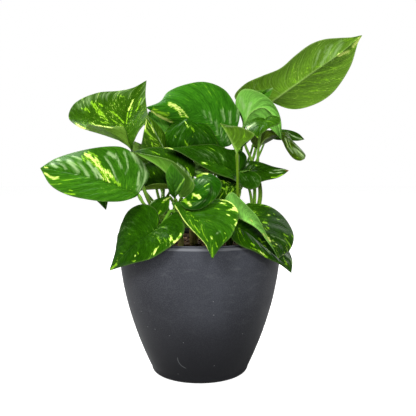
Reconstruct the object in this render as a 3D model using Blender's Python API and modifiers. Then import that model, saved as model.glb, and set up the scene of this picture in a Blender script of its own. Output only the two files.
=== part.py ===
"""Golden pothos in a charcoal plastic pot.

Short stems stand in holes in the soil. Each carries long stalks, and each stalk ends
0.3 mm short of its own leaf. Metres, +Z up, origin in the middle of the pot's base.
"""
import math

import bmesh
import bpy
import numpy as np
from mathutils import Vector

MM = 0.001
OBJECT_NAME = "potted_golden_pothos"

# Pot
POT_HEIGHT = 135 * MM
POT_RIM_RADIUS = 80 * MM
POT_TAPER_HEIGHT = 132 * MM
POT_TAPER = 34.7 * MM
POT_TAPER_POWER = 1.88
POT_FOOT_RADIUS = 41 * MM
POT_FOOT_ROUND = 6 * MM
POT_WALL = 4.6 * MM
POT_FLOOR = 3 * MM
RIM_SHOULDER = 133.6 * MM
RIM_ROUND = 2.6 * MM
RIM_RING = 1.6 * MM
POT_WALL_STEPS = 9
ROUND_STEPS = 3
POT_SEGMENTS = 40
DRAIN_HOLE_RADIUS = 4 * MM
DRAIN_HOLE_RING = 24 * MM
DRAIN_HOLE_COUNT = 4
HOLE_SIDES = 12

# Soil
SOIL_TOP = 129 * MM
SOIL_CROWN = 3 * MM
SOIL_CROWN_SHOULDER = 0.6
CONTACT_GAP = 0.3 * MM
SOIL_SIDE_GAP = 1.5 * CONTACT_GAP
STEM_HOLE_GAP = 2 * CONTACT_GAP

# Leaves and stalks
BLADE_THICKNESS = 0.7 * MM
BLADE_ROWS = 8
BLADE_COLUMNS = 3
VEIN_FAN = 2.2
BULGE_FULLNESS = 0.5
STALK_RADIUS = 1.6 * MM
STALK_END_RADIUS = 1.0 * MM
STALK_SEAT = 0.75 * MM
STALK_POINTS = 7
ROD_RESOLUTION = 1
STEM_RADIUS = 2.9 * MM
STEM_TOP_RADIUS = 2.0 * MM
STEM_POINTS = 8
ROUTE_STEPS = 12
MERGE_DISTANCE = 0.02 * MM

# The eye that the plant's leaves are laid out from: this far in front of the pot's axis,
# and this high. A laid-out point is (across, up, depth) in millimetres: where its sight line
# crosses the upright plane through the axis, then how far behind (+) or in front (-) of that
# plane the point itself lies.
EYE_DISTANCE = 630
EYE_HEIGHT = 211

# Stems: laid-out points from the bottom of the stem's hole in the soil to its tip
STEMS = {
    "stem_left": [(-27, 101, -8), (-30.5, 133, -8), (-35, 150, -10), (-38, 166, -12)],
    "stem_front_left": [(-17, 92, -38), (-18.5, 129, -40), (-20, 146, -42), (-18, 160, -42)],
    "stem_front": [(-6, 93, -36), (-6, 129, -38), (-5, 145, -40), (-3, 162, -42)],
    "stem_front_right": [(28, 94, -34), (29.5, 129, -36), (32, 146, -38), (32, 160, -40)],
    "stem_right": [(43, 101, 2), (50, 135, 6), (56, 155, 14), (60, 176, 22), (57.5, 198, 27)],
    "stem_centre": [(0, 101, 2), (1, 135, 4), (2, 160, 8), (2, 188, 12)],
    "stem_back_left": [(-22, 104, 38), (-25, 139, 40), (-28, 152, 44)],
    "stem_back_right": [(22, 104, 38), (25, 139, 40), (28, 152, 46), (32, 172, 50)],
}

# Leaves. rib runs from the joint with the stalk to the tip. left and right are the margins'
# points between the same two ends, as seen from the eye. top is roughly where the upper side
# faces, belly is how far the halves bulge that way, in millimetres. stalk holds the points
# between the stem and the leaf, and starts is how far up the stem it leaves it.
LEAVES = {
    "leaf_left_high": dict(
        stem="stem_left", starts=0.80, stalk=[(-47, 164, -20), (-56, 184, -31), (-61, 200, -29)],
        rib=[(-66.6, 218.4, -21), (-72, 240, -2), (-72, 256, 12), (-67, 269, 18), (-52, 288, 16)],
        left=[(-71, 231, -29), (-75, 243, -35), (-88, 242.5, -37), (-101, 244.5, -33),
              (-109.5, 245.5, -26), (-112.5, 241, -18), (-120, 244, -8), (-128.5, 252.5, 4),
              (-122, 266, 14), (-100, 276, 22), (-79, 278, 23), (-65, 281, 20)],
        right=[(-65, 228, -28), (-62.5, 235.5, -30), (-57.5, 243, -24), (-50.5, 250.5, -10),
               (-52, 262, 6), (-53, 275, 14)],
        top=(-0.3, -0.8, 0.5), belly=0.5),
    "leaf_left_large": dict(
        stem="stem_left", starts=0.62, stalk=[(-46, 157, -30), (-56, 168, -42)],
        rib=[(-61, 177, -47), (-88, 187.5, -50), (-107, 193, -52), (-138, 200, -55), (-157, 202.5, -57)],
        left=[(-55.5, 185, -41), (-50, 195, -36), (-53.5, 205, -33), (-59, 211.5, -31), (-66, 217.5, -29),
              (-76, 223, -26), (-90, 223.8, -24), (-113, 220.5, -29), (-141.5, 212, -43)],
        right=[(-64, 174, -55), (-76, 170, -62), (-93, 169.5, -67), (-110, 171.5, -69),
               (-131.5, 176.5, -66), (-147, 185.5, -62)],
        top=(-0.2, -0.6, 0.8), belly=3.0),
    "leaf_left_behind": dict(
        stem="stem_left", starts=0.90, stalk=[(-48, 172, -4), (-57, 184, 0)],
        rib=[(-62, 192, 2), (-76, 194, 2), (-88, 180, 0), (-93, 161.3, -4)],
        left=[(-62, 200, 12), (-82, 206, 15), (-104, 196, 10), (-105, 175, 2), (-98, 166.5, -2)],
        right=[(-66, 185, -6), (-73, 178, -9), (-84, 174, -8), (-93, 170, -6)],
        top=(-0.4, -0.4, 0.8), belly=1.5),
    "leaf_front_left": dict(
        stem="stem_front_left", starts=0.92, stalk=[(-28, 160, -42), (-36, 149, -48)],
        rib=[(-42, 143.2, -58), (-53, 136, -62), (-63.5, 128.7, -62), (-75, 117.5, -57), (-90, 100.5, -44)],
        left=[(-40, 153, -56), (-45, 163, -50), (-56, 167, -44), (-71, 160, -35),
              (-80, 140, -32), (-84, 120, -36)],
        right=[(-38, 145, -61), (-29, 155, -62), (-22.5, 160, -62), (-16, 150, -70), (-16, 138, -77),
               (-25, 128, -82), (-36, 120, -83), (-49, 112.5, -80), (-67, 107.5, -70), (-79, 104, -58)],
        top=(-0.2, -0.8, 0.6), belly=2.0),
    "leaf_front_small": dict(
        stem="stem_front_left", starts=0.75, stalk=[(-22, 158, -34), (-27, 170, -32)],
        rib=[(-30, 175, -36), (-37, 167, -42), (-39, 155.3, -45)],
        left=[(-36, 173, -35), (-44, 171.5, -36), (-49.5, 166, -40), (-44, 159, -43)],
        right=[(-30, 169, -41), (-31, 163, -43), (-35, 158, -45)],
        top=(-0.2, -0.9, 0.4), belly=0.5),
    "leaf_centre_young": dict(
        stem="stem_front_left", starts=0.97, stalk=[(-22, 167, -43)],
        rib=[(-25, 173, -51), (-26, 184, -62), (-27, 197, -70), (-28, 207.2, -70)],
        left=[(-29, 177, -54), (-32, 186, -62), (-33.5, 196.5, -67), (-31, 203, -69)],
        right=[(-22.5, 176, -56), (-17.5, 183, -67), (-15, 192, -72), (-21, 200, -72)],
        top=(0.0, -1.0, 0.3), belly=0.8),
    "leaf_centre_trough": dict(
        stem="stem_front_left", starts=0.85, stalk=[(-16, 160, -36), (-16, 168, -41)],
        rib=[(-19, 174, -49), (-26, 188, -54), (-33, 197.6, -55), (-44, 206.6, -54), (-58, 214.2, -50),
             (-65.5, 218.5, -46)],
        left=[(-13, 181, -46), (-6.5, 193, -38), (-4.5, 202, -33), (-7, 210.5, -28), (-15, 217.5, -26),
              (-27, 221.5, -26), (-41, 223, -31), (-54, 222, -39)],
        right=[(-15, 174, -54), (-8, 179, -60), (-5.3, 185, -64), (-7, 190.6, -66), (-12.5, 196.5, -67),
               (-19, 203.5, -66), (-29, 210.4, -62), (-50, 215.5, -54)],
        top=(0.2, -0.3, 0.9), belly=-1.5),
    "leaf_left_spotted": dict(
        stem="stem_left", starts=0.97, stalk=[(-36, 182, 8), (-35, 200, 8)],
        rib=[(-34, 211, -8), (-36, 222, -16), (-44.5, 239, -21), (-51.6, 254, -22)],
        left=[(-41, 210, -12), (-52, 211, -16), (-58, 221, -20), (-56.7, 230, -23), (-54.5, 241, -24)],
        right=[(-32, 215, -10), (-33.5, 226, -12), (-35, 237, -15), (-42, 246, -19)],
        top=(-0.3, -0.9, 0.3), belly=1.0),
    "leaf_left_olive": dict(
        stem="stem_left", starts=0.93, stalk=[(-43, 184, 6), (-43, 202, 12)],
        rib=[(-46, 211, 10), (-55, 220, 5), (-64, 229, 0)],
        left=[(-51, 207, 6), (-60, 211, 1), (-66, 221, -2)],
        right=[(-46, 217, 14), (-49, 222.5, 13), (-57, 226, 7)],
        top=(0.0, 0.6, 0.8), belly=1.0),
    "leaf_left_shaded": dict(
        stem="stem_left", starts=0.99, stalk=[(-32, 175, -18)],
        rib=[(-27, 183, -26), (-38, 182.5, -27), (-50, 181.5, -24), (-60, 180, -14)],
        left=[(-24, 192, -16), (-26, 200, -7), (-38, 205.5, -6), (-50, 208.5, -5), (-59, 198, -7)],
        right=[(-29, 186, -34), (-38, 187.3, -37), (-48, 186.5, -33), (-56, 183, -22)],
        top=(-0.1, -0.3, 0.9), belly=-1.0),
    "leaf_centre_dark": dict(
        stem="stem_front_right", starts=0.97, stalk=[(33, 172, -26), (37, 188, -10)],
        rib=[(37.8, 198.8, -14), (20, 206.5, -16), (0, 213.5, -22), (-18, 219.5, -32), (-35.8, 222.2, -40)],
        left=[(45, 205, -4), (46, 214, 0), (40, 220, 4), (29, 221, 5), (14, 225.8, 4), (-3, 225.2, -6),
              (-20, 223, -22)],
        right=[(42.8, 198.5, -17), (49.4, 200, -15), (57, 197, -15), (60.8, 191, -20), (58, 184, -26),
               (50.7, 181.5, -30), (42, 184.5, -33), (33.5, 191, -35), (22, 195, -37), (9.7, 200, -40),
               (-7, 210.5, -43), (-22, 219, -43)],
        top=(-0.1, -0.6, 0.8), belly=1.5),
    "leaf_centre_behind": dict(
        stem="stem_front_right", starts=0.99, stalk=[(37, 169, -29), (40, 180, -20)],
        rib=[(38, 187, -26), (27, 185, -29), (9, 177, -42)],
        left=[(36.5, 190, -24), (24, 195, -24), (13, 190, -33)],
        right=[(37.5, 179, -31), (34, 171, -36), (26, 168, -38), (15, 170, -42)],
        top=(-0.2, -0.8, 0.6), belly=1.0),
    "leaf_centre_sheen": dict(
        stem="stem_centre", starts=0.80, stalk=[(12, 184, 2)],
        rib=[(16, 202, -12), (3, 204, -20), (-11, 202, -26)],
        left=[(14, 207, -8), (2, 208.5, -12), (-8, 206.5, -20)],
        right=[(14, 197, -20), (3, 197, -28), (-6, 198.5, -29)],
        top=(-0.2, -0.5, 0.8), belly=1.0),
    "leaf_glossy_curl": dict(
        stem="stem_front", starts=0.97, stalk=[(2, 176, -40), (-2, 188, -42)],
        rib=[(-3, 193, -53), (5, 192.5, -61), (11, 184, -71), (4, 172.5, -75), (-8, 166.5, -71),
             (-20, 168.5, -65)],
        left=[(-6, 190, -60), (-5, 185, -64), (-7, 180, -67), (-13, 175, -67)],
        right=[(-3, 196.5, -53), (6.6, 197.8, -51), (16, 194.4, -54), (21.8, 187, -60), (19.3, 178, -66),
               (12, 169, -70), (-2.8, 161.5, -71), (-13.5, 162.5, -68)],
        top=(0.2, -0.9, 0.4), belly=0.6),
    "leaf_centre_round": dict(
        stem="stem_centre", starts=0.99, stalk=[(-6, 214, 18), (-12, 234, 18)],
        rib=[(-14, 244, 13), (-13.5, 251, 4), (-8, 243, -4), (-5, 233, -3), (-5, 225, 0), (-6, 216, 4)],
        left=[(-23, 246, 11), (-34, 239, 3), (-36.5, 228, -4), (-28, 219, -2)],
        right=[(-3, 247, 13), (8.5, 244.5, 11), (15.5, 233.5, 10), (18.3, 224, 12), (8, 217, 9)],
        top=(0.0, -0.9, 0.4), belly=2.0),
    "leaf_crown": dict(
        stem="stem_centre", starts=0.97, stalk=[(14, 200, 24), (21, 212, 33)],
        rib=[(24, 223.5, 26), (16, 243, 24), (-2, 257, 21), (-26, 262.5, 13), (-52.3, 262, 3)],
        left=[(20, 221, 29), (6, 228, 31), (-10, 238, 28), (-29, 247.3, 18), (-41, 253, 10)],
        right=[(31, 226, 21), (37.5, 244, 12), (39.3, 256, 9), (35, 264.5, 12), (24, 279.5, 20),
               (4, 286.8, 32), (-18, 283, 36), (-31, 277, 30), (-39, 267.3, 14)],
        top=(-0.1, -0.8, 0.6), belly=3.0),
    "leaf_filler_left": dict(
        stem="stem_centre", starts=0.90, stalk=[(-14, 204, 22), (-21, 216, 27)],
        rib=[(-24, 225, 25), (-34, 240, 24), (-50, 258, 17)],
        left=[(-32, 222, 20), (-43, 229, 14), (-50, 240, 10), (-52, 250, 12)],
        right=[(-19, 237, 31), (-24, 249, 31), (-38, 257, 25)],
        top=(-0.3, -0.8, 0.5), belly=1.0),
    "leaf_funnel_right": dict(
        stem="stem_front_right", starts=0.90, stalk=[(37, 170, -46), (37.5, 190, -43), (37.3, 206, -36)],
        rib=[(36.8, 217, -28), (31, 229, -21), (25, 239.5, -15), (20, 246.5, -11)],
        left=[(37, 225, -17), (34, 236, -7), (27, 243, -7)],
        right=[(39.5, 221.5, -31), (43.5, 226.5, -34), (49, 230.3, -33), (54, 235.9, -29),
               (47.7, 239.7, -27), (40.3, 242.8, -25), (28, 244.6, -17)],
        top=(0.0, 0.8, 0.6), belly=-1.5),
    "leaf_right_glossy": dict(
        stem="stem_right", starts=0.97, stalk=[(57.5, 216, 17), (60, 238, 9)],
        rib=[(64, 251, 4), (62, 247, -8), (59, 240, -18), (57.3, 231.7, -22)],
        left=[(56, 252, 6), (47.5, 247, 0), (45.5, 242, -8), (51.5, 237, -17)],
        right=[(72, 254, 4), (79, 251.5, -2), (78, 246, -9), (68.5, 242, -17), (61, 236.3, -21)],
        top=(0.0, -0.7, 0.7), belly=1.0),
    "leaf_right_bright": dict(
        stem="stem_right", starts=0.38, stalk=[(54, 165, 13), (54, 190, 19), (51, 210, 22), (45, 225, 17)],
        rib=[(42.3, 242.5, 24), (50, 257, 21), (62, 262, 19), (74, 252, 18), (80.6, 230, 18)],
        left=[(41.6, 254, 20), (35, 266, 20), (41.6, 279, 16), (57, 277.5, 13), (71.5, 267, 12),
              (79.2, 252, 14)],
        right=[(49, 244, 30), (59, 245, 31), (70, 241, 27), (77, 234.5, 22)],
        top=(0.0, 0.8, 0.6), belly=2.0),
    "leaf_tip_behind": dict(
        stem="stem_back_right", starts=0.95, stalk=[(42, 226, 44), (45, 250, 35)],
        rib=[(48, 264, 29), (58, 272, 27), (71.9, 281.2, 24)],
        left=[(46, 271, 28), (50, 277, 25), (60, 278.5, 23)],
        right=[(55, 264, 28), (62, 267, 26), (68.5, 272.5, 24)],
        top=(0.0, -0.6, 0.8), belly=0.5),
    "leaf_top_right": dict(
        stem="stem_back_right", starts=0.98, stalk=[(52.5, 212, 44), (59, 240, 40)],
        rib=[(70.5, 267.5, 38), (94, 284, 30), (117, 300.5, 22), (136, 313.5, 14), (158.5, 332, 6)],
        left=[(62, 266, 44), (46, 263, 50), (34, 272, 48), (44, 284.5, 39), (61, 292.5, 32), (79, 300, 26),
              (93, 312, 20), (108, 323, 16), (121, 327.8, 13), (135, 329.2, 11), (149, 330, 9)],
        right=[(78, 264, 42), (89, 260.5, 44), (100.6, 261, 42), (117.5, 267, 39), (128.6, 274.5, 35),
               (137, 284, 30), (148, 302.6, 21), (153, 319, 13), (154.5, 324.5, 10)],
        top=(0.0, 0.6, 0.8), belly=3.0),
    "leaf_right_drooping": dict(
        stem="stem_right", starts=0.96, stalk=[(57.5, 210, 30)],
        rib=[(57.6, 221.5, 30), (65, 231.5, 32), (80, 236, 38), (90, 226.5, 37), (99, 216, 34),
             (103.5, 211.5, 32)],
        left=[(50, 230.5, 23), (57, 237, 25), (68, 240, 33), (78.5, 235, 34), (85.5, 221, 30),
              (92.7, 212, 28), (99, 209.8, 29)],
        right=[(50.5, 224.5, 33), (60.5, 225.3, 40), (71, 230.3, 47), (84, 237.8, 50), (91.5, 229.5, 46),
               (101, 220, 41), (104.5, 215, 36)],
        top=(0.2, 0.4, 0.9), belly=1.0),
    "leaf_right_far": dict(
        stem="stem_back_right", starts=0.90, stalk=[(57, 212, 56)],
        rib=[(67, 236, 64), (84, 237, 63), (103.2, 230.8, 56)],
        left=[(70, 240, 70), (87, 240, 68), (97.5, 236.3, 61)],
        right=[(73, 231, 61), (87, 230, 57), (97, 229.5, 55)],
        top=(0.1, -0.4, 0.9), belly=0.6),
    "leaf_right_pointed": dict(
        stem="stem_right", starts=0.32, stalk=[(52, 158, 7), (49, 182, 14)],
        rib=[(41, 197, 5), (56, 201, 2), (72, 200, 0), (88, 200, 0)],
        left=[(39, 205, 13), (46, 209.4, 15), (58, 208.7, 13), (73, 203.9, 8), (84, 201.5, 2)],
        right=[(46, 191, -2), (55, 188, -7), (66, 190.5, -8), (77, 193, -6), (84, 196.8, -3)],
        top=(0.0, -0.4, 0.9), belly=1.0),
    "leaf_front_centre": dict(
        stem="stem_front", starts=0.70, stalk=[(-8, 148, -50), (-21, 157, -52)],
        rib=[(-26.5, 167.5, -56), (-9, 156, -70), (1, 151.5, -81), (7.5, 143.5, -91), (11.5, 133, -97),
             (12.5, 112.2, -98)],
        left=[(-28, 167.5, -58), (-21.3, 160, -66), (-14.4, 148.3, -75), (-3, 136.2, -85), (5, 127.5, -92),
              (9, 120, -96)],
        right=[(-20, 169, -55), (-8, 169, -56), (8, 171.5, -58), (24, 171.3, -60), (34, 166, -65),
               (39, 156, -73), (35.5, 144, -82), (30.5, 133.8, -89), (21, 124.5, -95)],
        top=(0.1, -0.7, 0.7), belly=1.5),
    "leaf_right_trough": dict(
        stem="stem_front_right", starts=0.93, stalk=[(34, 154, -52)],
        rib=[(37.8, 154, -60), (45.5, 150, -66), (54.3, 145, -70), (61, 139, -71), (67, 130.5, -70),
             (73.3, 122, -68), (78.4, 112.5, -64)],
        left=[(32, 160, -60), (25, 172, -52), (31.5, 178.5, -58), (38, 174, -66), (48, 164.2, -75),
              (57, 154.5, -80), (63.4, 143, -80), (68, 133, -77)],
        right=[(43.5, 160, -52), (47, 167.5, -43), (55, 167.5, -38), (67, 165.5, -36), (79.5, 158, -33),
               (89, 146.5, -32), (93.5, 135, -35), (91, 123, -43)],
        top=(0.5, -0.3, 0.8), belly=1.5),
    "leaf_front_right": dict(
        stem="stem_front_right", starts=0.78, stalk=[(32, 146.5, -48)],
        rib=[(36, 146, -58), (47, 139, -60), (60, 128, -58), (76, 114, -53), (91.6, 97.5, -44)],
        left=[(37.5, 151.5, -54), (43, 155, -49), (54, 151.5, -43), (68, 143, -34), (82, 131, -29),
              (92, 112, -33)],
        right=[(32, 142, -64), (31, 134, -71), (34, 129.8, -75), (42, 124.6, -76), (54.5, 119.5, -73),
               (67, 112.6, -66), (80, 106.5, -56)],
        top=(0.2, -0.7, 0.7), belly=1.5),
    "leaf_side_right": dict(
        stem="stem_right", starts=0.50, stalk=[(57, 148, 6)],
        rib=[(63, 151, 4), (72, 149, 5), (82, 138, 7), (88, 114, 10)],
        left=[(64, 157, 12), (76, 157, 19), (86, 144, 22), (90, 126, 17)],
        right=[(65, 146, -4), (74, 141, -11), (84, 131, -9), (89, 121, -1)],
        top=(0.7, -0.1, 0.7), belly=1.5),
    "leaf_side_left": dict(
        stem="stem_left", starts=0.55, stalk=[(-46, 147, 2)],
        rib=[(-55, 151, 5), (-64, 152, 8), (-75, 145, 11), (-81.5, 131.5, 13), (-84, 112, 15)],
        left=[(-57, 146, -3), (-68, 144, -9), (-80, 139, -8), (-82.5, 128.5, 0)],
        right=[(-55, 157, 13), (-66, 158, 21), (-77, 149, 27), (-82, 128, 25)],
        top=(-0.7, -0.1, 0.7), belly=1.0),
    "leaf_back_high": dict(
        stem="stem_centre", starts=0.93, stalk=[(2, 206, 36), (0, 224, 50)],
        rib=[(0, 236, 54), (2, 250, 68), (4, 255, 88), (6, 244, 114)],
        left=[(-11, 240, 52), (-26, 246, 62), (-30, 254, 80), (-18, 252, 100)],
        right=[(12, 240, 54), (28, 246, 64), (32, 256, 82), (22, 252, 102)],
        top=(0.0, 0.6, 0.8), belly=2.0),
    "leaf_back_left": dict(
        stem="stem_back_left", starts=0.95, stalk=[(-26, 180, 42)],
        rib=[(-46, 196, 44), (-68, 202, 58), (-96, 200, 74), (-128, 188, 86)],
        left=[(-47, 204, 52), (-64, 212, 66), (-88, 216, 84), (-114, 207, 92)],
        right=[(-54, 191, 44), (-66, 184, 50), (-90, 179, 64), (-114, 179, 78)],
        top=(-0.3, 0.1, 1.0), belly=2.0),
    "leaf_back_right": dict(
        stem="stem_back_right", starts=0.99, stalk=[(51, 220, 58), (57, 250, 60)],
        rib=[(64, 269, 64), (86, 282, 78), (108, 291, 90), (132, 295, 100)],
        left=[(56, 276, 62), (64, 286, 66), (86, 298, 76), (112, 307, 90)],
        right=[(74, 269, 67), (92, 267, 84), (112, 272, 100)],
        top=(0.1, 0.5, 0.9), belly=2.5),
    "leaf_back_low_left": dict(
        stem="stem_back_left", starts=0.80, stalk=[(-36, 156, 58)],
        rib=[(-44, 158, 72), (-50, 150, 88), (-54, 136, 104), (-56, 114, 112)],
        left=[(-52, 161, 68), (-66, 154, 77), (-72, 138, 92), (-66, 122, 106)],
        right=[(-38, 163, 76), (-26, 154, 94), (-28, 138, 112), (-42, 122, 116)],
        top=(-0.2, 0.8, 0.6), belly=2.0),
    "leaf_back_low_mid": dict(
        stem="stem_back_right", starts=0.60, stalk=[(4, 150, 62)],
        rib=[(-8, 158, 78), (-8, 152, 94), (-7, 139, 108), (-8, 121, 114)],
        left=[(-15, 162, 75), (-25, 156, 88), (-26, 143, 102), (-17, 129, 112)],
        right=[(-1, 163, 78), (11, 157, 90), (12, 143, 104), (2, 129, 112)],
        top=(0.0, 0.8, 0.6), belly=2.0),
    "leaf_back_low_right": dict(
        stem="stem_back_right", starts=0.75, stalk=[(46, 154, 54)],
        rib=[(54, 159, 66), (62, 151, 80), (68, 138, 94), (72, 119, 102)],
        left=[(46, 163, 74), (43, 155, 88), (48, 139, 104), (60, 124, 108)],
        right=[(62, 162, 60), (76, 156, 64), (84, 142, 78), (82, 127, 94)],
        top=(0.3, 0.7, 0.6), belly=2.0),
    "leaf_back_mid": dict(
        stem="stem_back_left", starts=0.99, stalk=[(-16, 180, 50)],
        rib=[(-8, 202, 64), (-2, 208, 82), (2, 205, 102), (4, 192, 124)],
        left=[(-17, 207, 63), (-30, 208, 78), (-32, 204, 98), (-16, 197, 116)],
        right=[(1, 209, 63), (18, 214, 74), (28, 211, 94), (18, 201, 116)],
        top=(0.0, 0.3, 0.9), belly=2.0),
    "leaf_back_upper_left": dict(
        stem="stem_back_left", starts=0.97, stalk=[(-38, 182, 52), (-47, 212, 58), (-51, 240, 60)],
        rib=[(-63, 259, 64), (-82, 267, 74), (-102, 264, 88), (-117, 254, 98)],
        left=[(-66, 266, 68), (-84, 273, 82), (-104, 269, 94)],
        right=[(-70, 252, 62), (-88, 248, 70), (-106, 246, 84)],
        top=(-0.3, 0.4, 0.9), belly=2.0),
    "leaf_back_crown": dict(
        stem="stem_centre", starts=0.99, stalk=[(7, 206, 34), (8, 236, 42)],
        rib=[(6, 260, 48), (-4, 270, 58), (-18, 273, 72), (-36, 265, 86)],
        left=[(-2, 257, 50), (-14, 260, 64), (-28, 261, 80)],
        right=[(12, 268, 50), (8, 279, 62), (-12, 282, 76), (-30, 274, 86)],
        top=(0.1, 0.5, 0.9), belly=2.0),
    "leaf_back_inner_right": dict(
        stem="stem_back_right", starts=0.85, stalk=[(24, 172, 62)],
        rib=[(20, 191, 70), (30, 200, 82), (43, 202, 98), (56, 194, 112)],
        left=[(15, 198, 74), (24, 207, 88), (42, 208, 106)],
        right=[(29, 188, 68), (43, 188, 78), (56, 188, 96)],
        top=(0.2, 0.4, 0.9), belly=2.0),
}

LEAF_GREEN = (0.045, 0.20, 0.012)
STEM_GREEN = (0.19, 0.32, 0.06)
POT_GREY = (0.030, 0.032, 0.038)
SOIL_BROWN = (0.055, 0.030, 0.018)


def clear_scene():
    for item in list(bpy.data.objects):
        bpy.data.objects.remove(item, do_unlink=True)


def collection(name):
    made = bpy.data.collections.new(name)
    bpy.context.scene.collection.children.link(made)
    return made


def material(name, colour, roughness):
    made = bpy.data.materials.new(name)
    made.use_nodes = True
    shader = made.node_tree.nodes["Principled BSDF"]
    shader.inputs["Base Color"].default_value = (*colour, 1.0)
    shader.inputs["Roughness"].default_value = roughness
    return made


def placed(point):
    """World position of one laid-out point."""
    across, up, depth = point
    reach = (depth + EYE_DISTANCE) / EYE_DISTANCE
    return np.array((across * reach, depth, EYE_HEIGHT + (up - EYE_HEIGHT) * reach)) * MM


def smooth_route(points, fractions):
    """Points of a smooth curve through the given ones, at fractions of its length."""
    points = np.asarray(points, dtype=float)
    chords = np.linalg.norm(np.diff(points, axis=0), axis=1)
    knots = np.concatenate(([0.0], np.cumsum(np.sqrt(chords))))
    slopes = np.empty_like(points)
    spans = np.diff(points, axis=0) / np.diff(knots)[:, None]
    slopes[0], slopes[-1] = spans[0], spans[-1]
    if len(points) > 2:
        before, after = np.diff(knots)[:-1, None], np.diff(knots)[1:, None]
        slopes[1:-1] = (spans[:-1] * after + spans[1:] * before) / (before + after)
    dense = [points[0]]
    for index, width in enumerate(np.diff(knots)):
        for part in np.linspace(0, 1, ROUTE_STEPS + 1)[1:]:
            dense.append((2 * part**3 - 3 * part**2 + 1) * points[index]
                         + (part**3 - 2 * part**2 + part) * width * slopes[index]
                         + (3 * part**2 - 2 * part**3) * points[index + 1]
                         + (part**3 - part**2) * width * slopes[index + 1])
    dense = np.array(dense)
    lengths = np.concatenate(([0.0], np.cumsum(np.linalg.norm(np.diff(dense, axis=0), axis=1))))
    wanted = np.asarray(fractions) * lengths[-1]
    return np.stack([np.interp(wanted, lengths, dense[:, axis]) for axis in range(3)], axis=1)


def unit(vector):
    return vector / np.linalg.norm(vector)


def blade_points(leaf, rows, columns):
    """Grid of a blade's points: rows from joint to tip, columns from margin to margin."""
    rib = [placed(point) for point in leaf["rib"]]
    along = np.linspace(0, 1, rows + 1)
    roots = smooth_route(rib, along ** VEIN_FAN)
    ahead = unit(rib[-1] - rib[0])
    top = unit(np.array(leaf["top"], dtype=float))
    across = np.linspace(0, 1, columns + 1)[None, :, None]
    halves = []
    for side in ("left", "right"):
        margin = [rib[0]] + [placed(point) for point in leaf[side]] + [rib[-1]]
        ends = smooth_route(margin, along)
        lift = unit(np.cross(ahead, np.sum(ends - roots, axis=0)))
        lift *= math.copysign(leaf["belly"] * MM, np.dot(lift, top))
        swell = (np.sin(along * math.pi) ** BULGE_FULLNESS)[:, None, None] * 4 * across * (1 - across)
        halves.append(roots[:, None] + (ends - roots)[:, None] * across + swell * lift)
    return np.concatenate((halves[0][:, :0:-1], halves[1]), axis=1)


def blade(name, leaf, skin, parts):
    grid = blade_points(leaf, BLADE_ROWS, BLADE_COLUMNS)
    rows, columns = grid.shape[:2]
    shape = bmesh.new()
    corners = [[shape.verts.new(point) for point in row] for row in grid]
    for row in range(rows - 1):
        for column in range(columns - 1):
            near, far = corners[row], corners[row + 1]
            quad = (near[column], near[column + 1], far[column + 1], far[column])
            if column < columns // 2:
                triangles = ((quad[0], quad[1], quad[2]), (quad[0], quad[2], quad[3]))
            else:
                triangles = ((quad[0], quad[1], quad[3]), (quad[1], quad[2], quad[3]))
            for triangle in triangles:
                shape.faces.new(triangle)
    bmesh.ops.remove_doubles(shape, verts=shape.verts, dist=MERGE_DISTANCE)
    facing = sum((face.normal * face.calc_area() for face in shape.faces), Vector())
    if facing.dot(Vector(leaf["top"])) < 0:
        bmesh.ops.reverse_faces(shape, faces=shape.faces)
    mesh = bpy.data.meshes.new(name)
    shape.to_mesh(mesh)
    shape.free()
    mesh.materials.append(skin)
    mesh.shade_smooth()
    made = bpy.data.objects.new(name, mesh)
    thick = made.modifiers.new("thickness", "SOLIDIFY")
    thick.thickness = BLADE_THICKNESS
    thick.offset = 0
    parts.objects.link(made)
    return made


def rod(name, route, start_radius, end_radius, home):
    """A tapering round rod along a route, as a closed mesh."""
    curve = bpy.data.curves.new(name, "CURVE")
    curve.dimensions = "3D"
    curve.bevel_depth = 1.0
    curve.bevel_resolution = ROD_RESOLUTION
    curve.use_fill_caps = True
    line = curve.splines.new("POLY")
    line.points.add(len(route) - 1)
    for index, (knot, place) in enumerate(zip(line.points, route)):
        knot.co = (*place, 1.0)
        knot.radius = start_radius + (end_radius - start_radius) * index / (len(route) - 1)
    guide = bpy.data.objects.new(name, curve)
    home.objects.link(guide)
    bpy.context.view_layer.update()
    seen = guide.evaluated_get(bpy.context.evaluated_depsgraph_get())
    mesh = bpy.data.meshes.new_from_object(seen)
    bpy.data.objects.remove(guide, do_unlink=True)
    shape = bmesh.new()
    shape.from_mesh(mesh)
    bmesh.ops.remove_doubles(shape, verts=shape.verts, dist=MERGE_DISTANCE)
    bmesh.ops.recalc_face_normals(shape, faces=shape.faces)
    shape.to_mesh(mesh)
    shape.free()
    made = bpy.data.objects.new(name, mesh)
    home.objects.link(made)
    return made


def stalk_route(leaf):
    """From the stem's middle to just below the leaf's joint."""
    stem = [placed(point) for point in STEMS[leaf["stem"]]]
    start = smooth_route(stem, [leaf["starts"]])[0]
    middle = [placed(point) for point in leaf["stalk"]]
    joint = placed(leaf["rib"][0])
    arrival = unit(joint - middle[-1])
    return smooth_route([start] + middle + [joint - arrival * STALK_SEAT], np.linspace(0, 1, STALK_POINTS))


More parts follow.
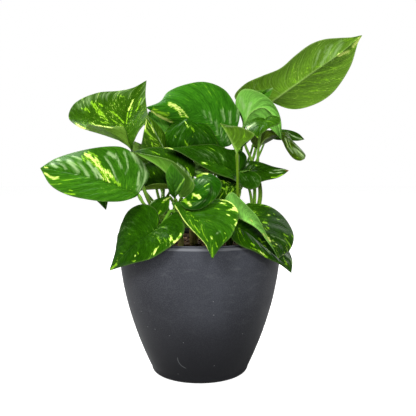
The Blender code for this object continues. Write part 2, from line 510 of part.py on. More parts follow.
def stem(name, points, skin, parts, scraps):
    """A stem with its stalks, joined into one body."""
    route = smooth_route([placed(point) for point in points], np.linspace(0, 1, STEM_POINTS))
    made = rod(name, route, STEM_RADIUS, STEM_TOP_RADIUS, parts)
    for leaf_name, leaf in LEAVES.items():
        if leaf["stem"] == name:
            rod(leaf_name + "_stalk", stalk_route(leaf), STALK_RADIUS, STALK_END_RADIUS, scraps)
    join = made.modifiers.new("stalks", "BOOLEAN")
    join.operation = "UNION"
    join.operand_type = "COLLECTION"
    join.collection = scraps
    join.solver = "EXACT"
    bpy.context.view_layer.update()
    seen = made.evaluated_get(bpy.context.evaluated_depsgraph_get())
    mesh = bpy.data.meshes.new_from_object(seen)
    made.modifiers.clear()
    made.data = mesh
    mesh.materials.clear()
    mesh.materials.append(skin)
    mesh.shade_smooth()
    for item in list(scraps.objects):
        bpy.data.objects.remove(item, do_unlink=True)
    return made


def wall_radius(height):
    """Outer radius of the pot's wall at a height."""
    return POT_RIM_RADIUS - POT_TAPER * max(0.0, 1 - height / POT_TAPER_HEIGHT) ** POT_TAPER_POWER


def turned(name, profile, segments, skin, parts):
    """A solid turned from a profile of (radius, height) points, top to bottom on the outer side."""
    mesh = bpy.data.meshes.new(name)
    corners = [(radius, 0.0, height) for radius, height in profile]
    mesh.from_pydata(corners, [(i, i + 1) for i in range(len(corners) - 1)], [])
    mesh.materials.append(skin)
    made = bpy.data.objects.new(name, mesh)
    screw = made.modifiers.new("turn", "SCREW")
    screw.steps = screw.render_steps = segments
    screw.use_merge_vertices = True
    screw.merge_threshold = MERGE_DISTANCE
    screw.use_smooth_shade = True
    parts.objects.link(made)
    return made


def bore(target, name, radius, low, high, place, cutters):
    """Cut one upright round hole."""
    bpy.ops.mesh.primitive_cylinder_add(vertices=HOLE_SIDES, radius=radius, depth=high - low,
                                        location=(place[0], place[1], (low + high) / 2))
    cutter = bpy.context.object
    cutter.name = name
    for home in list(cutter.users_collection):
        home.objects.unlink(cutter)
    cutters.objects.link(cutter)
    cutter.hide_render = True
    cutter.display_type = "WIRE"
    cut = target.modifiers.new(name, "BOOLEAN")
    cut.operation = "DIFFERENCE"
    cut.object = cutter
    cut.solver = "EXACT"


def inner_radius(height):
    """Inner radius of the pot's wall at a height."""
    return wall_radius(height) - POT_WALL


def wall_heights():
    """Heights of the wall's rings, from under the rim's rounding to the foot."""
    return np.linspace(RIM_SHOULDER - RIM_ROUND, POT_FOOT_ROUND, POT_WALL_STEPS)


def quarter_turns():
    return [math.pi / 2 * step / ROUND_STEPS for step in range(1, ROUND_STEPS + 1)]


def foot_curve():
    """The rounding from the wall down to the flat of the base."""
    width = wall_radius(POT_FOOT_ROUND) - POT_FOOT_RADIUS
    return [(POT_FOOT_RADIUS + width * math.cos(turn), POT_FOOT_ROUND * (1 - math.sin(turn)))
            for turn in quarter_turns()]


def rim_curve():
    """The thin inner ring of the rim, and the rounded shoulder outside it."""
    inside = POT_RIM_RADIUS - POT_WALL
    ring = [(inside, POT_HEIGHT), (inside + RIM_RING, POT_HEIGHT), (inside + RIM_RING, RIM_SHOULDER)]
    shoulder = [(math.sin(turn), math.cos(turn)) for turn in quarter_turns()[:-1]]
    return ring + [(POT_RIM_RADIUS - RIM_ROUND * (1 - out), RIM_SHOULDER - RIM_ROUND * (1 - up))
                   for out, up in shoulder]


INNER_FOOT = POT_FLOOR + POT_FOOT_ROUND
FLOOR_RADIUS = wall_radius(INNER_FOOT) - POT_WALL - POT_FOOT_ROUND


def pot(skin, parts, cutters):
    shape = rim_curve() + [(wall_radius(height), height) for height in wall_heights()]
    shape += foot_curve() + [(0.0, 0.0)]
    shape += [(0.0, POT_FLOOR), (FLOOR_RADIUS, POT_FLOOR), (inner_radius(INNER_FOOT), INNER_FOOT)]
    shape += [(inner_radius(height), height) for height in wall_heights()[::-1] if height > INNER_FOOT]
    shape += [(POT_RIM_RADIUS - POT_WALL, POT_HEIGHT)]
    made = turned("pot", shape, POT_SEGMENTS, skin, parts)
    for index in range(DRAIN_HOLE_COUNT):
        angle = 2 * math.pi * (index + 0.5) / DRAIN_HOLE_COUNT
        place = (DRAIN_HOLE_RING * math.cos(angle), DRAIN_HOLE_RING * math.sin(angle))
        bore(made, f"drain_hole_{index}", DRAIN_HOLE_RADIUS, -POT_FLOOR, 2 * POT_FLOOR, place, cutters)
    return made


def soil(skin, parts, cutters):
    shoulder = (SOIL_CROWN_SHOULDER * POT_RIM_RADIUS, SOIL_TOP + SOIL_CROWN_SHOULDER * SOIL_CROWN)
    shape = [(0.0, SOIL_TOP + SOIL_CROWN), shoulder, (inner_radius(SOIL_TOP) - SOIL_SIDE_GAP, SOIL_TOP)]
    steps = [height for height in wall_heights() if INNER_FOOT < height < SOIL_TOP - POT_FOOT_ROUND]
    shape += [(inner_radius(height) - SOIL_SIDE_GAP, height) for height in steps]
    shape += [(inner_radius(INNER_FOOT) - SOIL_SIDE_GAP, INNER_FOOT + CONTACT_GAP)]
    shape += [(FLOOR_RADIUS - SOIL_SIDE_GAP, POT_FLOOR + CONTACT_GAP), (0.0, POT_FLOOR + CONTACT_GAP)]
    made = turned("soil", shape, POT_SEGMENTS, skin, parts)
    for name, points in STEMS.items():
        low, high = placed(points[0]), placed(points[1])
        reach = STEM_RADIUS + np.linalg.norm((high - low)[:2]) / 2 + STEM_HOLE_GAP
        floor, mouth = low[2] - STEM_HOLE_GAP, SOIL_TOP + 2 * SOIL_CROWN
        bore(made, name + "_hole", reach, floor, mouth, (low + high) / 2, cutters)
    return made


def build():
    clear_scene()
    parts = collection(OBJECT_NAME)
    cutters = collection("cutters")
    scraps = collection("stalks_to_join")
    leaf_skin = material("leaf", LEAF_GREEN, 0.35)
    stem_skin = material("stem", STEM_GREEN, 0.45)
    pot_skin = material("pot_plastic", POT_GREY, 0.5)
    soil_skin = material("soil", SOIL_BROWN, 0.95)
    pot(pot_skin, parts, cutters)
    soil(soil_skin, parts, cutters)
    for name, points in STEMS.items():
        stem(name, points, stem_skin, parts, scraps)
    for name, leaf in LEAVES.items():
        blade(name, leaf, leaf_skin, parts)
    bpy.data.collections.remove(scraps)


build()
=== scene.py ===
"""Golden pothos in a charcoal plastic pot: the finished look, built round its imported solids.

Every leaf, stem, the soil and the pot are made again here from the solids' own measures, with
veins, markings and skins that the solids leave out. Metres, +Z up, origin under the pot.
"""
import math

import bmesh
import bpy
import numpy as np
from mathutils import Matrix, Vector, noise


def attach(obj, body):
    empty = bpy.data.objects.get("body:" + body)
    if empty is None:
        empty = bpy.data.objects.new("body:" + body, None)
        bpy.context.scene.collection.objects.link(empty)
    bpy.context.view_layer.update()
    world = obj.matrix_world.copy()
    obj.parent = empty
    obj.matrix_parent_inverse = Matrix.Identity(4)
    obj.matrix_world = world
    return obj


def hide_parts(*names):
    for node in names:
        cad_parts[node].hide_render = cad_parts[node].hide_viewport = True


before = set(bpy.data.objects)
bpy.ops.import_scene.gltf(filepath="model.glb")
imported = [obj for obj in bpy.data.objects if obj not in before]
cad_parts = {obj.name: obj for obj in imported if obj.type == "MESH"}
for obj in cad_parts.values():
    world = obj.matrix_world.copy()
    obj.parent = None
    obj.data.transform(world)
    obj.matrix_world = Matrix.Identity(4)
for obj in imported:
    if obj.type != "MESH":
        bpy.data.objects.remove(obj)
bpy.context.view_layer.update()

MM = 0.001

# The eye that the laid-out points are seen from, in millimetres. Each such point is how far across
# and how far up the eye sees it, on the upright plane through the pot's axis, and how far behind
# that plane it lies.
EYE_DISTANCE = 630
EYE_HEIGHT = 211

# Camera
CAMERA_HEIGHT = 211.2 * MM
CAMERA_TILT = math.radians(85.632)
CAMERA_TURN = math.radians(-0.738)
CAMERA_SENSOR = 36.0
CAMERA_LENS = 55.09
CAMERA_NEAR = 0.01

# Pot
POT_HEIGHT = 135 * MM
POT_RIM_RADIUS = 80 * MM
POT_TAPER_HEIGHT = 132 * MM
POT_TAPER = 34.7 * MM
POT_TAPER_POWER = 1.88
POT_FOOT_RADIUS = 41 * MM
POT_FOOT_ROUND = 6 * MM
POT_WALL = 4.6 * MM
POT_FLOOR = 3 * MM
RIM_SHOULDER = 133.6 * MM
RIM_ROUND = 2.6 * MM
RIM_RING = 1.6 * MM
RIM_EASE = 0.4 * MM
RIM_EASE_STEPS = 4
WALL_RINGS = 46
ROUND_STEPS = 8
POT_SEGMENTS = 144
DRAIN_HOLE_RADIUS = 4 * MM
DRAIN_HOLE_RING = 24 * MM
DRAIN_HOLE_COUNT = 4
DRAIN_HOLE_SIDES = 32

# Soil
SOIL_TOP = 129 * MM
SOIL_CROWN = 3 * MM
SOIL_GAP = 0.45 * MM
SOIL_SUNK = 0.4 * MM
SOIL_EDGE = 5 * MM
SOIL_RING_CROWDING = 0.8
SOIL_WALL_RINGS = 12
SOIL_RINGS = 44
SOIL_SEGMENTS = 120
SOIL_LUMP_HEIGHT = 1.5 * MM
# Lumps in the soil's top: how high each kind is beside the others, and how many to a metre
SOIL_LUMPS = ((1.0, 70), (0.5, 190), (0.3, 480))
SOIL_SEED = 11
SOIL_CRUMBS = 900
SOIL_CHIPS = 70
# Radii of the crumbs and of the chips of bark, in millimetres
CRUMB_SIZES = (0.5, 1.7)
CHIP_SIZES = (1.6, 3.6)
CRUMB_FLATNESS = 0.7
CHIP_FLATNESS = 0.25
# How far a crumb's or chip's middle stands above the soil, in its own sizes
CRUMB_STANDS = 0.15
CHIP_STANDS = 0.1
# Crumbs with a smaller radius have fewer facets
FINE_CRUMB = 1.1 * MM
CRUMB_UNEVENNESS = 0.28
CRUMB_WIDTHS = (0.5, 0.9)
CRUMB_LEAN = 0.35

# Leaves
LEAF_THICKNESS = 0.5 * MM
LEAF_ROWS = 84
LEAF_COLUMNS = 24
LEAF_COLUMN_CROWDING = 1.2
LEAF_RIM = 0.985
VEIN_FAN = 2.2
BULGE_FULLNESS = 0.5
ROUTE_STEPS = 12
VEINS_A_SIDE = 9
VEIN_SWEEP = 0.13
PUCKER = 0.34 * MM
PUCKER_MIDDLE = 0.6
PUCKER_VEIN_GAP = 7 * MM
# How much of a half blade stays flat beside the midrib and beside the margin
FLAT_AT_RIB = 0.2
FLAT_AT_MARGIN = 0.3
MIDRIB_TAPER = 0.8
MIDRIB_GROOVE = 0.45 * MM
MIDRIB_GROOVE_WIDTH = 1.3 * MM
MIDRIB_HEIGHT = 0.75 * MM
MIDRIB_WIDTH = 0.95 * MM
RIB_MARK_WIDTH = 1.0 * MM
EDGE_MARK_WIDTH = 0.7 * MM
DRY_TIP_START = 0.94
GRAIN_STRETCH = 1.3
# Sets the grain of each leaf or stalk apart from that of the others
GRAIN_APART = 37.0
DEEPEST_GREEN = 0.030
PALEST_GREEN = 0.46

# Stalks and stems
STALK_RADIUS = 1.6 * MM
STALK_END_RADIUS = 1.0 * MM
STALK_JOINT_SWELL = 0.45 * MM
STALK_JOINT_BACK = 4 * MM
STALK_JOINT_LENGTH = 3 * MM
STALK_CLASP_SWELL = 0.55
STALK_CLASP_LENGTH = 5 * MM
STALK_FLARE_LENGTH = 32 * MM
STALK_LEAF_GAP = 0.35 * MM
STALK_END_TAPER = 0.8
STALK_GROOVE = 0.16
STALK_GROOVE_TURN = 0.6
ROD_GRAIN_REACH = 6
STALK_STEPS = 44
STALK_SIDES = 14
STEM_RADIUS = 2.9 * MM
STEM_TOP_RADIUS = 2.0 * MM
STEM_KNUCKLE = 0.3 * MM
STEM_KNUCKLE_LENGTH = 1.3 * MM
STEM_STEPS = 40
# The stems' green, as fresh and yellow: a pale green, set paler still as painted light for the shade under
# the leaves
STEM_GREEN = (0.86, 0.24)
SHEATH_STEPS = 19
SHEATH_COLUMNS = 9
SHEATH_THICKNESS = 0.24 * MM
SHEATH_STANDS_OFF = 0.35 * MM
SHEATH_SPREAD = 3.2 * MM
SHEATH_WRAP = 2.2
SHEATH_RIPPLE = 0.25 * MM

# Stems, as laid-out points from the bottom of the stem's hole in the soil to its tip
STEMS = {
    "stem_left": [(-27, 101, -8), (-30.5, 133, -8), (-35, 150, -10), (-38, 166, -12)],
    "stem_front_left": [(-17, 92, -38), (-18.5, 129, -40), (-20, 146, -42), (-18, 160, -42)],
    "stem_front": [(-6, 93, -36), (-6, 129, -38), (-5, 145, -40), (-3, 162, -42)],
    "stem_front_right": [(28, 94, -34), (29.5, 129, -36), (32, 146, -38), (32, 160, -40)],
    "stem_right": [(43, 101, 2), (50, 135, 6), (56, 155, 14), (60, 176, 22), (57.5, 198, 27)],
    "stem_centre": [(0, 101, 2), (1, 135, 4), (2, 160, 8), (2, 188, 12)],
    "stem_back_left": [(-22, 104, 38), (-25, 139, 40), (-28, 152, 44)],
    "stem_back_right": [(22, 104, 38), (25, 139, 40), (28, 152, 46), (32, 172, 50)],
}

# Papery sheaths left on the stems: how far up the stem, which way round, and how long
SHEATHS = {
    "stem_front": [(0.46, -0.6, 24 * MM), (0.55, 1.9, 17 * MM)],
    "stem_front_left": [(0.52, 0.4, 20 * MM)],
    "stem_front_right": [(0.50, -1.2, 18 * MM)],
    "stem_left": [(0.42, 2.6, 19 * MM)],
    "stem_right": [(0.26, -1.9, 21 * MM)],
    "stem_centre": [(0.45, 0.9, 18 * MM)],
    "stem_back_left": [(0.62, 1.4, 16 * MM)],
    "stem_back_right": [(0.48, 1.2, 20 * MM)],
}

# Leaves. rib runs from the joint with the stalk to the tip. left and right are the margins'
# points between the same two ends, as seen from the eye. top is roughly where the upper side
# faces, and belly is how far the halves bulge that way, in millimetres. stalk holds the points
# between the stem and the leaf, and starts is how far up the stem it leaves it.
# fresh runs from 0, the deepest green, to 1, the palest, and yellow leans it towards lime.
# leaf_filler_left and leaf_centre_sheen, which sit in deep shade, are given paler greens as painted
# light, the latter beyond 1. under is both for the leaf's underside and stalk_green for its stalk;
# the stalks' pale greens are set paler still as painted light for the shade under the leaves.
# flecks is how freely pale flecks scatter over it, and streaks how freely lime ones do. cream and
# lime are markings, and shine is a painted sheen: each is a width in millimetres and the laid-out
# (across, up) points that it follows. painted_sheen_strength is how strongly the painted sheen
# shows, pucker how deeply the blade swells between its side veins, and dry how brown its tip is.
# stout thickens the stalk, flare widens it below the leaf, in millimetres, and joint is how far its
# joint swells.
USUAL_LEAF = dict(belly=2.0, under=(0.6, 0.08), flecks=0.4, streaks=0.1, painted_sheen_strength=1.0, pucker=1.0, dry=0.0,
                  stalk_green=(0.92, 0.2), stout=1.0, flare=0.0, joint=1.0, cream=[], lime=[], shine=[])
LEAVES = {
    "leaf_left_high": dict(
        stem="stem_left", starts=0.8, stalk=[(-47, 164, -20), (-56, 184, -31), (-61, 200, -29)],
        rib=[(-66.6, 218.4, -21), (-72, 240, -2), (-72, 256, 12), (-67, 269, 18), (-52, 288, 16)],
        left=[(-71, 231, -29), (-75, 243, -35), (-88, 242.5, -37), (-101, 244.5, -33),
            (-109.5, 245.5, -26), (-112.5, 241, -18), (-120, 244, -8), (-128.5, 252.5, 4),
            (-122, 266, 14), (-100, 276, 22), (-79, 278, 23), (-65, 281, 20)],
        right=[(-65, 228, -28), (-62.5, 235.5, -30), (-57.5, 243, -24), (-50.5, 250.5, -10),
            (-52, 262, 6), (-53, 275, 14)],
        top=(-0.3, -0.8, 0.5), belly=0.5, fresh=0.46, yellow=0.1, under=(0.84, 0.22), flecks=0.5,
        streaks=0.15, painted_sheen_strength=0.48, stout=1.35,
        cream=[(1.6, [(-65, 269), (-67.5, 263.5), (-69.8, 258.5)]),
            (1.3, [(-109, 247), (-98, 243.8), (-86, 242)]),
            (2.6, [(-121, 245.5), (-115, 241.5), (-110, 240)])],
        lime=[(2.4, [(-106.5, 268), (-105, 265)]), (3.6, [(-104, 265), (-98.5, 258.5), (-93, 251.5)]),
            (2.0, [(-112, 262), (-107, 256)]), (2.0, [(-88, 259), (-79.5, 252.5), (-73.8, 246.2)]),
            (1.5, [(-86, 250), (-81, 246)]), (1.6, [(-70.5, 257), (-72, 246)]),
            (2.0, [(-80, 273.5), (-75, 272)]), (2.2, [(-100, 266), (-94.5, 263)]),
            (2.4, [(-101, 259), (-95, 252.5), (-90, 249.5)]), (1.6, [(-115, 260.5), (-110, 259)]),
            (1.8, [(-98, 247.5), (-90, 246.5)]), (1.5, [(-57, 271), (-62, 258)]),
            (1.4, [(-66, 262), (-68.5, 252)])],
        shine=[(10.0, [(-119, 263), (-105, 272), (-88, 275), (-70, 279)]),
            (5.0, [(-53, 284), (-57, 266)]), (2.4, [(-109, 246.5), (-99, 243), (-79, 241.5)])]),
    "leaf_left_large": dict(
        stem="stem_left", starts=0.62, stalk=[(-46, 157, -30), (-56, 168, -42)],
        rib=[(-61, 177, -47), (-88, 187.5, -50), (-107, 193, -52), (-138, 200, -55), (-157, 202.5, -57)],
        left=[(-55.5, 185, -41), (-50, 195, -36), (-53.5, 205, -33), (-59, 211.5, -31), (-66, 217.5, -29),
            (-76, 223, -26), (-90, 223.8, -24), (-113, 220.5, -29), (-141.5, 212, -43)],
        right=[(-64, 174, -55), (-76, 170, -62), (-93, 169.5, -67), (-110, 171.5, -69),
            (-131.5, 176.5, -66), (-147, 185.5, -62)],
        top=(-0.2, -0.6, 0.8), belly=3.0, fresh=0.59, yellow=0.02, flecks=0.2, streaks=0.05, pucker=1.4,
        stalk_green=(1.0, 0.2), stout=1.35,
        cream=[(3.6, [(-112.5, 216.5), (-107, 213)]), (2.8, [(-107, 212), (-100, 204.5), (-93, 198)]),
            (2.4, [(-103, 213), (-98.5, 207)]), (3.6, [(-91, 199), (-88, 194)]),
            (2.2, [(-93, 195), (-89.5, 189)]),
            (2.6, [(-152, 197.5), (-148, 194), (-144, 192.5), (-139.5, 193.3)]),
            (1.6, [(-153, 203), (-150, 203)]), (1.4, [(-98, 195), (-94, 191)])],
        lime=[(7.0, [(-112, 215), (-104, 210), (-97, 201), (-90, 193)]),
            (2.6, [(-109, 218), (-101.5, 214)]), (2.2, [(-105, 208), (-97, 200)]),
            (2.6, [(-99, 201), (-92, 190)]), (3.4, [(-84, 190), (-79, 186)]),
            (1.1, [(-129, 181), (-120, 179)]), (2.4, [(-86, 194), (-83, 188), (-78, 185.5)]),
            (1.2, [(-139, 187.5), (-134, 188)]), (1.6, [(-133.5, 178), (-128, 177), (-122, 176.3)]),
            (1.4, [(-117, 214), (-112, 208)])],
        shine=[(3.4, [(-145.5, 207), (-142, 203.5)]), (3.2, [(-139.5, 210), (-134, 205), (-132, 202)]),
            (5.0, [(-128.5, 209), (-124, 203), (-121, 199)]), (1.8, [(-125, 214), (-117, 211)]),
            (3.0, [(-119, 210), (-114, 202), (-110, 195)]),
            (3.0, [(-110, 208), (-105, 200), (-101, 193)]), (2.6, [(-103, 202), (-97.5, 193)]),
            (2.2, [(-93, 214), (-87.5, 205), (-84, 197), (-80.5, 188)]), (3.0, [(-90, 217), (-83, 213)]),
            (2.0, [(-82.5, 217), (-79, 207), (-77, 202)]),
            (1.9, [(-74.5, 218.5), (-71.5, 210), (-71, 203), (-73, 197.5)]),
            (4.4, [(-68, 217), (-62, 211.5), (-56.5, 205)]),
            (5.6, [(-56.5, 204), (-54, 198), (-55, 190)]), (4.4, [(-56.5, 188), (-60, 181)]),
            (2.4, [(-60, 198), (-61.5, 186)])]),
    "leaf_left_behind": dict(
        stem="stem_left", starts=0.9, stalk=[(-48, 172, -4), (-57, 184, 0)],
        rib=[(-62, 192, 2), (-76, 194, 2), (-88, 180, 0), (-93, 161.3, -4)],
        left=[(-62, 200, 12), (-82, 206, 15), (-104, 196, 10), (-105, 175, 2), (-98, 166.5, -2)],
        right=[(-66, 185, -6), (-73, 178, -9), (-84, 174, -8), (-93, 170, -6)],
        top=(-0.4, -0.4, 0.8), belly=1.5, fresh=0.4, yellow=0.0, under=(0.55, 0.12), flecks=0.2),
    "leaf_front_left": dict(
        stem="stem_front_left", starts=0.92, stalk=[(-28, 160, -42), (-36, 149, -48)],
        rib=[(-42, 143.2, -58), (-53, 136, -62), (-63.5, 128.7, -62), (-75, 117.5, -57),
            (-90, 100.5, -44)],
        left=[(-40, 153, -56), (-45, 163, -50), (-56, 167, -44), (-71, 160, -35), (-80, 140, -32),
            (-84, 120, -36)],
        right=[(-38, 145, -61), (-29, 155, -62), (-22.5, 160, -62), (-16, 150, -70), (-16, 138, -77),
            (-25, 128, -82), (-36, 120, -83), (-49, 112.5, -80), (-67, 107.5, -70), (-79, 104, -58)],
        top=(-0.2, -0.8, 0.6), fresh=0.34, yellow=0.03, under=(0.55, 0.08), flecks=0.15, streaks=0.05,
        painted_sheen_strength=0.28, stalk_green=(0.8, 0.12), stout=1.3,
        cream=[(2.2, [(-29.5, 135), (-28.3, 131), (-25, 128.5)]),
            (2.2, [(-25, 128.5), (-22, 131.5), (-19.3, 137)]), (2.4, [(-43, 123), (-46.2, 117)]),
            (1.2, [(-64.7, 115.5), (-64.2, 115)])],
        lime=[(1.3, [(-31, 134), (-30, 131)]), (1.3, [(-78.5, 131.8), (-77, 133)]),
            (1.2, [(-56, 125), (-54.5, 124)]), (1.4, [(-67, 110), (-64, 110.3)]),
            (1.2, [(-61.5, 119), (-61, 116)]), (2.6, [(-89.5, 101), (-83, 107)])],
        shine=[(7.0, [(-78, 140), (-70, 146)]), (6.0, [(-44, 139), (-34, 142)])]),
    "leaf_front_small": dict(
        stem="stem_front_left", starts=0.75, stalk=[(-22, 158, -34), (-27, 170, -32)],
        rib=[(-30, 175, -36), (-37, 167, -42), (-39, 155.3, -45)],
        left=[(-36, 173, -35), (-44, 171.5, -36), (-49.5, 166, -40), (-44, 159, -43)],
        right=[(-30, 169, -41), (-31, 163, -43), (-35, 158, -45)],
        top=(-0.2, -0.9, 0.4), belly=0.5, fresh=0.38, yellow=0.04, under=(0.55, 0.08), flecks=0.2,
        cream=[(1.3, [(-35.5, 170.5), (-31, 173), (-27.5, 175.5)])],
        lime=[(2.2, [(-37, 168.5), (-30, 174)]), (1.8, [(-40.5, 157.5), (-38.8, 160)])],
        shine=[(1.8, [(-49.5, 167.5), (-44, 171.5)])]),
    "leaf_centre_young": dict(
        stem="stem_front_left", starts=0.97, stalk=[(-22, 167, -43)],
        rib=[(-25, 173, -51), (-26, 184, -62), (-27, 197, -70), (-28, 207.2, -70)],
        left=[(-29, 177, -54), (-32, 186, -62), (-33.5, 196.5, -67), (-31, 203, -69)],
        right=[(-22.5, 176, -56), (-17.5, 183, -67), (-15, 192, -72), (-21, 200, -72)],
        top=(0.0, -1.0, 0.3), belly=0.8, fresh=0.6, yellow=0.02, flecks=0.1, streaks=0.15, painted_sheen_strength=0.5,
        lime=[(1.3, [(-15.4, 192), (-20, 185), (-22.5, 180)])],
        shine=[(1.6, [(-15.8, 193), (-20.5, 184.5), (-24.5, 176.5)])]),
    "leaf_centre_trough": dict(
        stem="stem_front_left", starts=0.85, stalk=[(-16, 160, -36), (-16, 168, -41)],
        rib=[(-19, 174, -49), (-26, 188, -54), (-33, 197.6, -55), (-44, 206.6, -54), (-58, 214.2, -50),
            (-65.5, 218.5, -46)],
        left=[(-13, 181, -46), (-6.5, 193, -38), (-4.5, 202, -33), (-7, 210.5, -28), (-15, 217.5, -26),
            (-27, 221.5, -26), (-41, 223, -31), (-54, 222, -39)],
        right=[(-15, 174, -54), (-8, 179, -60), (-5.3, 185, -64), (-7, 190.6, -66), (-12.5, 196.5, -67),
            (-19, 203.5, -66), (-29, 210.4, -62), (-50, 215.5, -54)],
        top=(0.2, -0.3, 0.9), belly=-1.5, fresh=0.28, yellow=0.06, under=(0.78, 0.12), flecks=0.1,
        lime=[(1.2, [(-47, 219), (-40, 216)]), (1.3, [(-14, 205), (-10, 198), (-8.5, 194)])],
        shine=[(1.6, [(-22, 207), (-12, 198), (-7, 190)])]),
    "leaf_left_spotted": dict(
        stem="stem_left", starts=0.97, stalk=[(-36, 182, 8), (-35, 200, 8)],
        rib=[(-34, 211, -8), (-36, 222, -16), (-44.5, 239, -21), (-51.6, 254, -22)],
        left=[(-41, 210, -12), (-52, 211, -16), (-58, 221, -20), (-56.7, 230, -23), (-54.5, 241, -24)],
        right=[(-32, 215, -10), (-33.5, 226, -12), (-35, 237, -15), (-42, 246, -19)],
        top=(-0.3, -0.9, 0.3), belly=1.0, fresh=0.48, yellow=0.12, under=(0.5, 0.08), flecks=0.6,
        streaks=0.4, stalk_green=(0.9, 0.2), stout=1.3,
        cream=[(1.5, [(-48, 244.5), (-45, 238)]), (1.0, [(-52.3, 250), (-53.6, 241)])],
        lime=[(1.7, [(-52.5, 248), (-54, 238)]), (2.0, [(-49, 232), (-44.5, 231)]),
            (1.3, [(-49.5, 246), (-47, 241)]), (1.6, [(-43, 226), (-41.5, 225)]),
            (1.5, [(-47.5, 228), (-46, 223)])],
        shine=[(0.9, [(-51, 252), (-44.3, 239), (-36, 223)])]),
    "leaf_left_olive": dict(
        stem="stem_left", starts=0.93, stalk=[(-43, 184, 6), (-43, 202, 12)],
        rib=[(-46, 211, 10), (-55, 220, 5), (-64, 229, 0)],
        left=[(-51, 207, 6), (-60, 211, 1), (-66, 221, -2)],
        right=[(-46, 217, 14), (-49, 222.5, 13), (-57, 226, 7)],
        top=(0.0, 0.6, 0.8), belly=1.0, fresh=0.36, yellow=0.22, under=(1.1, 0.26), flecks=0.15),
    "leaf_left_shaded": dict(
        stem="stem_left", starts=0.99, stalk=[(-32, 175, -18)],
        rib=[(-27, 183, -26), (-38, 182.5, -27), (-50, 181.5, -24), (-60, 180, -14)],
        left=[(-24, 192, -16), (-26, 200, -7), (-38, 205.5, -6), (-50, 208.5, -5), (-59, 198, -7)],
        right=[(-29, 186, -34), (-38, 187.3, -37), (-48, 186.5, -33), (-56, 183, -22)],
        top=(-0.1, -0.3, 0.9), belly=-1.0, fresh=0.3, yellow=0.08, under=(0.82, 0.3), flecks=0.0,
        streaks=0.0),
    "leaf_centre_dark": dict(
        stem="stem_front_right", starts=0.97, stalk=[(33, 172, -26), (37, 188, -10)],
        rib=[(37.8, 198.8, -14), (20, 206.5, -16), (0, 213.5, -22), (-18, 219.5, -32),
            (-35.8, 222.2, -40)],
        left=[(45, 205, -4), (46, 214, 0), (40, 220, 4), (29, 221, 5), (14, 225.8, 4), (-3, 225.2, -6),
            (-20, 223, -22)],
        right=[(42.8, 198.5, -17), (49.4, 200, -15), (57, 197, -15), (60.8, 191, -20), (58, 184, -26),
            (50.7, 181.5, -30), (42, 184.5, -33), (33.5, 191, -35), (22, 195, -37), (9.7, 200, -40),
            (-7, 210.5, -43), (-22, 219, -43)],
        top=(-0.1, -0.6, 0.8), belly=1.5, fresh=0.29, yellow=0.03, under=(0.5, 0.08), flecks=0.06,
        painted_sheen_strength=0.28,
        cream=[(0.9, [(-35.3, 222.4), (-31, 222.3), (-26, 221)]), (1.1, [(3, 207.8), (5.5, 207)])],
        lime=[(2.7, [(2.5, 207.8), (7, 206.7)]), (1.0, [(10, 205), (10.8, 204.5)])],
        shine=[(1.4, [(-24, 220), (-7.5, 211)]), (2.4, [(34, 190), (43, 185)]),
            (9.0, [(46, 192), (53, 190)]), (8.0, [(2, 216), (24, 212)])]),
    "leaf_centre_behind": dict(
        stem="stem_front_right", starts=0.99, stalk=[(37, 169, -29), (40, 180, -20)],
        rib=[(38, 187, -26), (27, 185, -29), (9, 177, -42)],
        left=[(36.5, 190, -24), (24, 195, -24), (13, 190, -33)],
        right=[(37.5, 179, -31), (34, 171, -36), (26, 168, -38), (15, 170, -42)],
        top=(-0.2, -0.8, 0.6), belly=1.0, fresh=0.26, yellow=0.04, under=(0.5, 0.08), flecks=0.5,
        streaks=0.4,
        lime=[(2.6, [(23.5, 190.5), (24, 188)]), (1.6, [(22, 183), (24, 182)])]),
    # Its cream and shine marks paint a white sheen, and its green, beyond the palest, is painted light for
    # the shade it sits in.
    "leaf_centre_sheen": dict(
        stem="stem_centre", starts=0.8, stalk=[(12, 184, 2)],
        rib=[(16, 202, -12), (3, 204, -20), (-11, 202, -26)],
        left=[(14, 207, -8), (2, 208.5, -12), (-8, 206.5, -20)],
        right=[(14, 197, -20), (3, 197, -28), (-6, 198.5, -29)],
        top=(-0.2, -0.5, 0.8), belly=1.0, fresh=1.2, yellow=0.25, under=(0.5, 0.08), flecks=0.1,
        streaks=0.15,
        cream=[(2.6, [(4.5, 201), (8.5, 198.5)])],
        shine=[(4.6, [(-7, 207.5), (-3, 203)]), (1.8, [(1, 203.5), (-6, 199)]),
            (4.0, [(5, 200.5), (9, 198)])]),
    "leaf_glossy_curl": dict(
        stem="stem_front", starts=0.97, stalk=[(2, 176, -40), (-2, 188, -42)],
        rib=[(-3, 193, -53), (5, 192.5, -61), (11, 184, -71), (4, 172.5, -75), (-8, 166.5, -71),
            (-20, 168.5, -65)],
        left=[(-6, 190, -60), (-5, 185, -64), (-7, 180, -67), (-13, 175, -67)],
        right=[(-3, 196.5, -53), (6.6, 197.8, -51), (16, 194.4, -54), (21.8, 187, -60), (19.3, 178, -66),
            (12, 169, -70), (-2.8, 161.5, -71), (-13.5, 162.5, -68)],
        top=(0.2, -0.9, 0.4), belly=0.6, fresh=0.38, yellow=-0.03, under=(0.5, 0.08), flecks=0.0,
        streaks=0.05, painted_sheen_strength=0.42, pucker=0.3,
        cream=[(2.8, [(-5.8, 176.3), (-3, 174.8)]), (2.4, [(-3.2, 175.5), (-0.5, 172.5)]),
            (1.5, [(1, 173.5), (-1, 176)]), (3.0, [(-11, 167.8), (-9.5, 166)]),
            (1.5, [(2, 197), (8, 197)])],
        lime=[(1.7, [(4.5, 184), (9, 187.5)]), (3.0, [(-5.5, 196.5), (-3, 194), (3, 197.2)]),
            (4.2, [(-15.5, 171.5), (-12.5, 168)]), (1.8, [(-7.5, 173), (-6, 177)])],
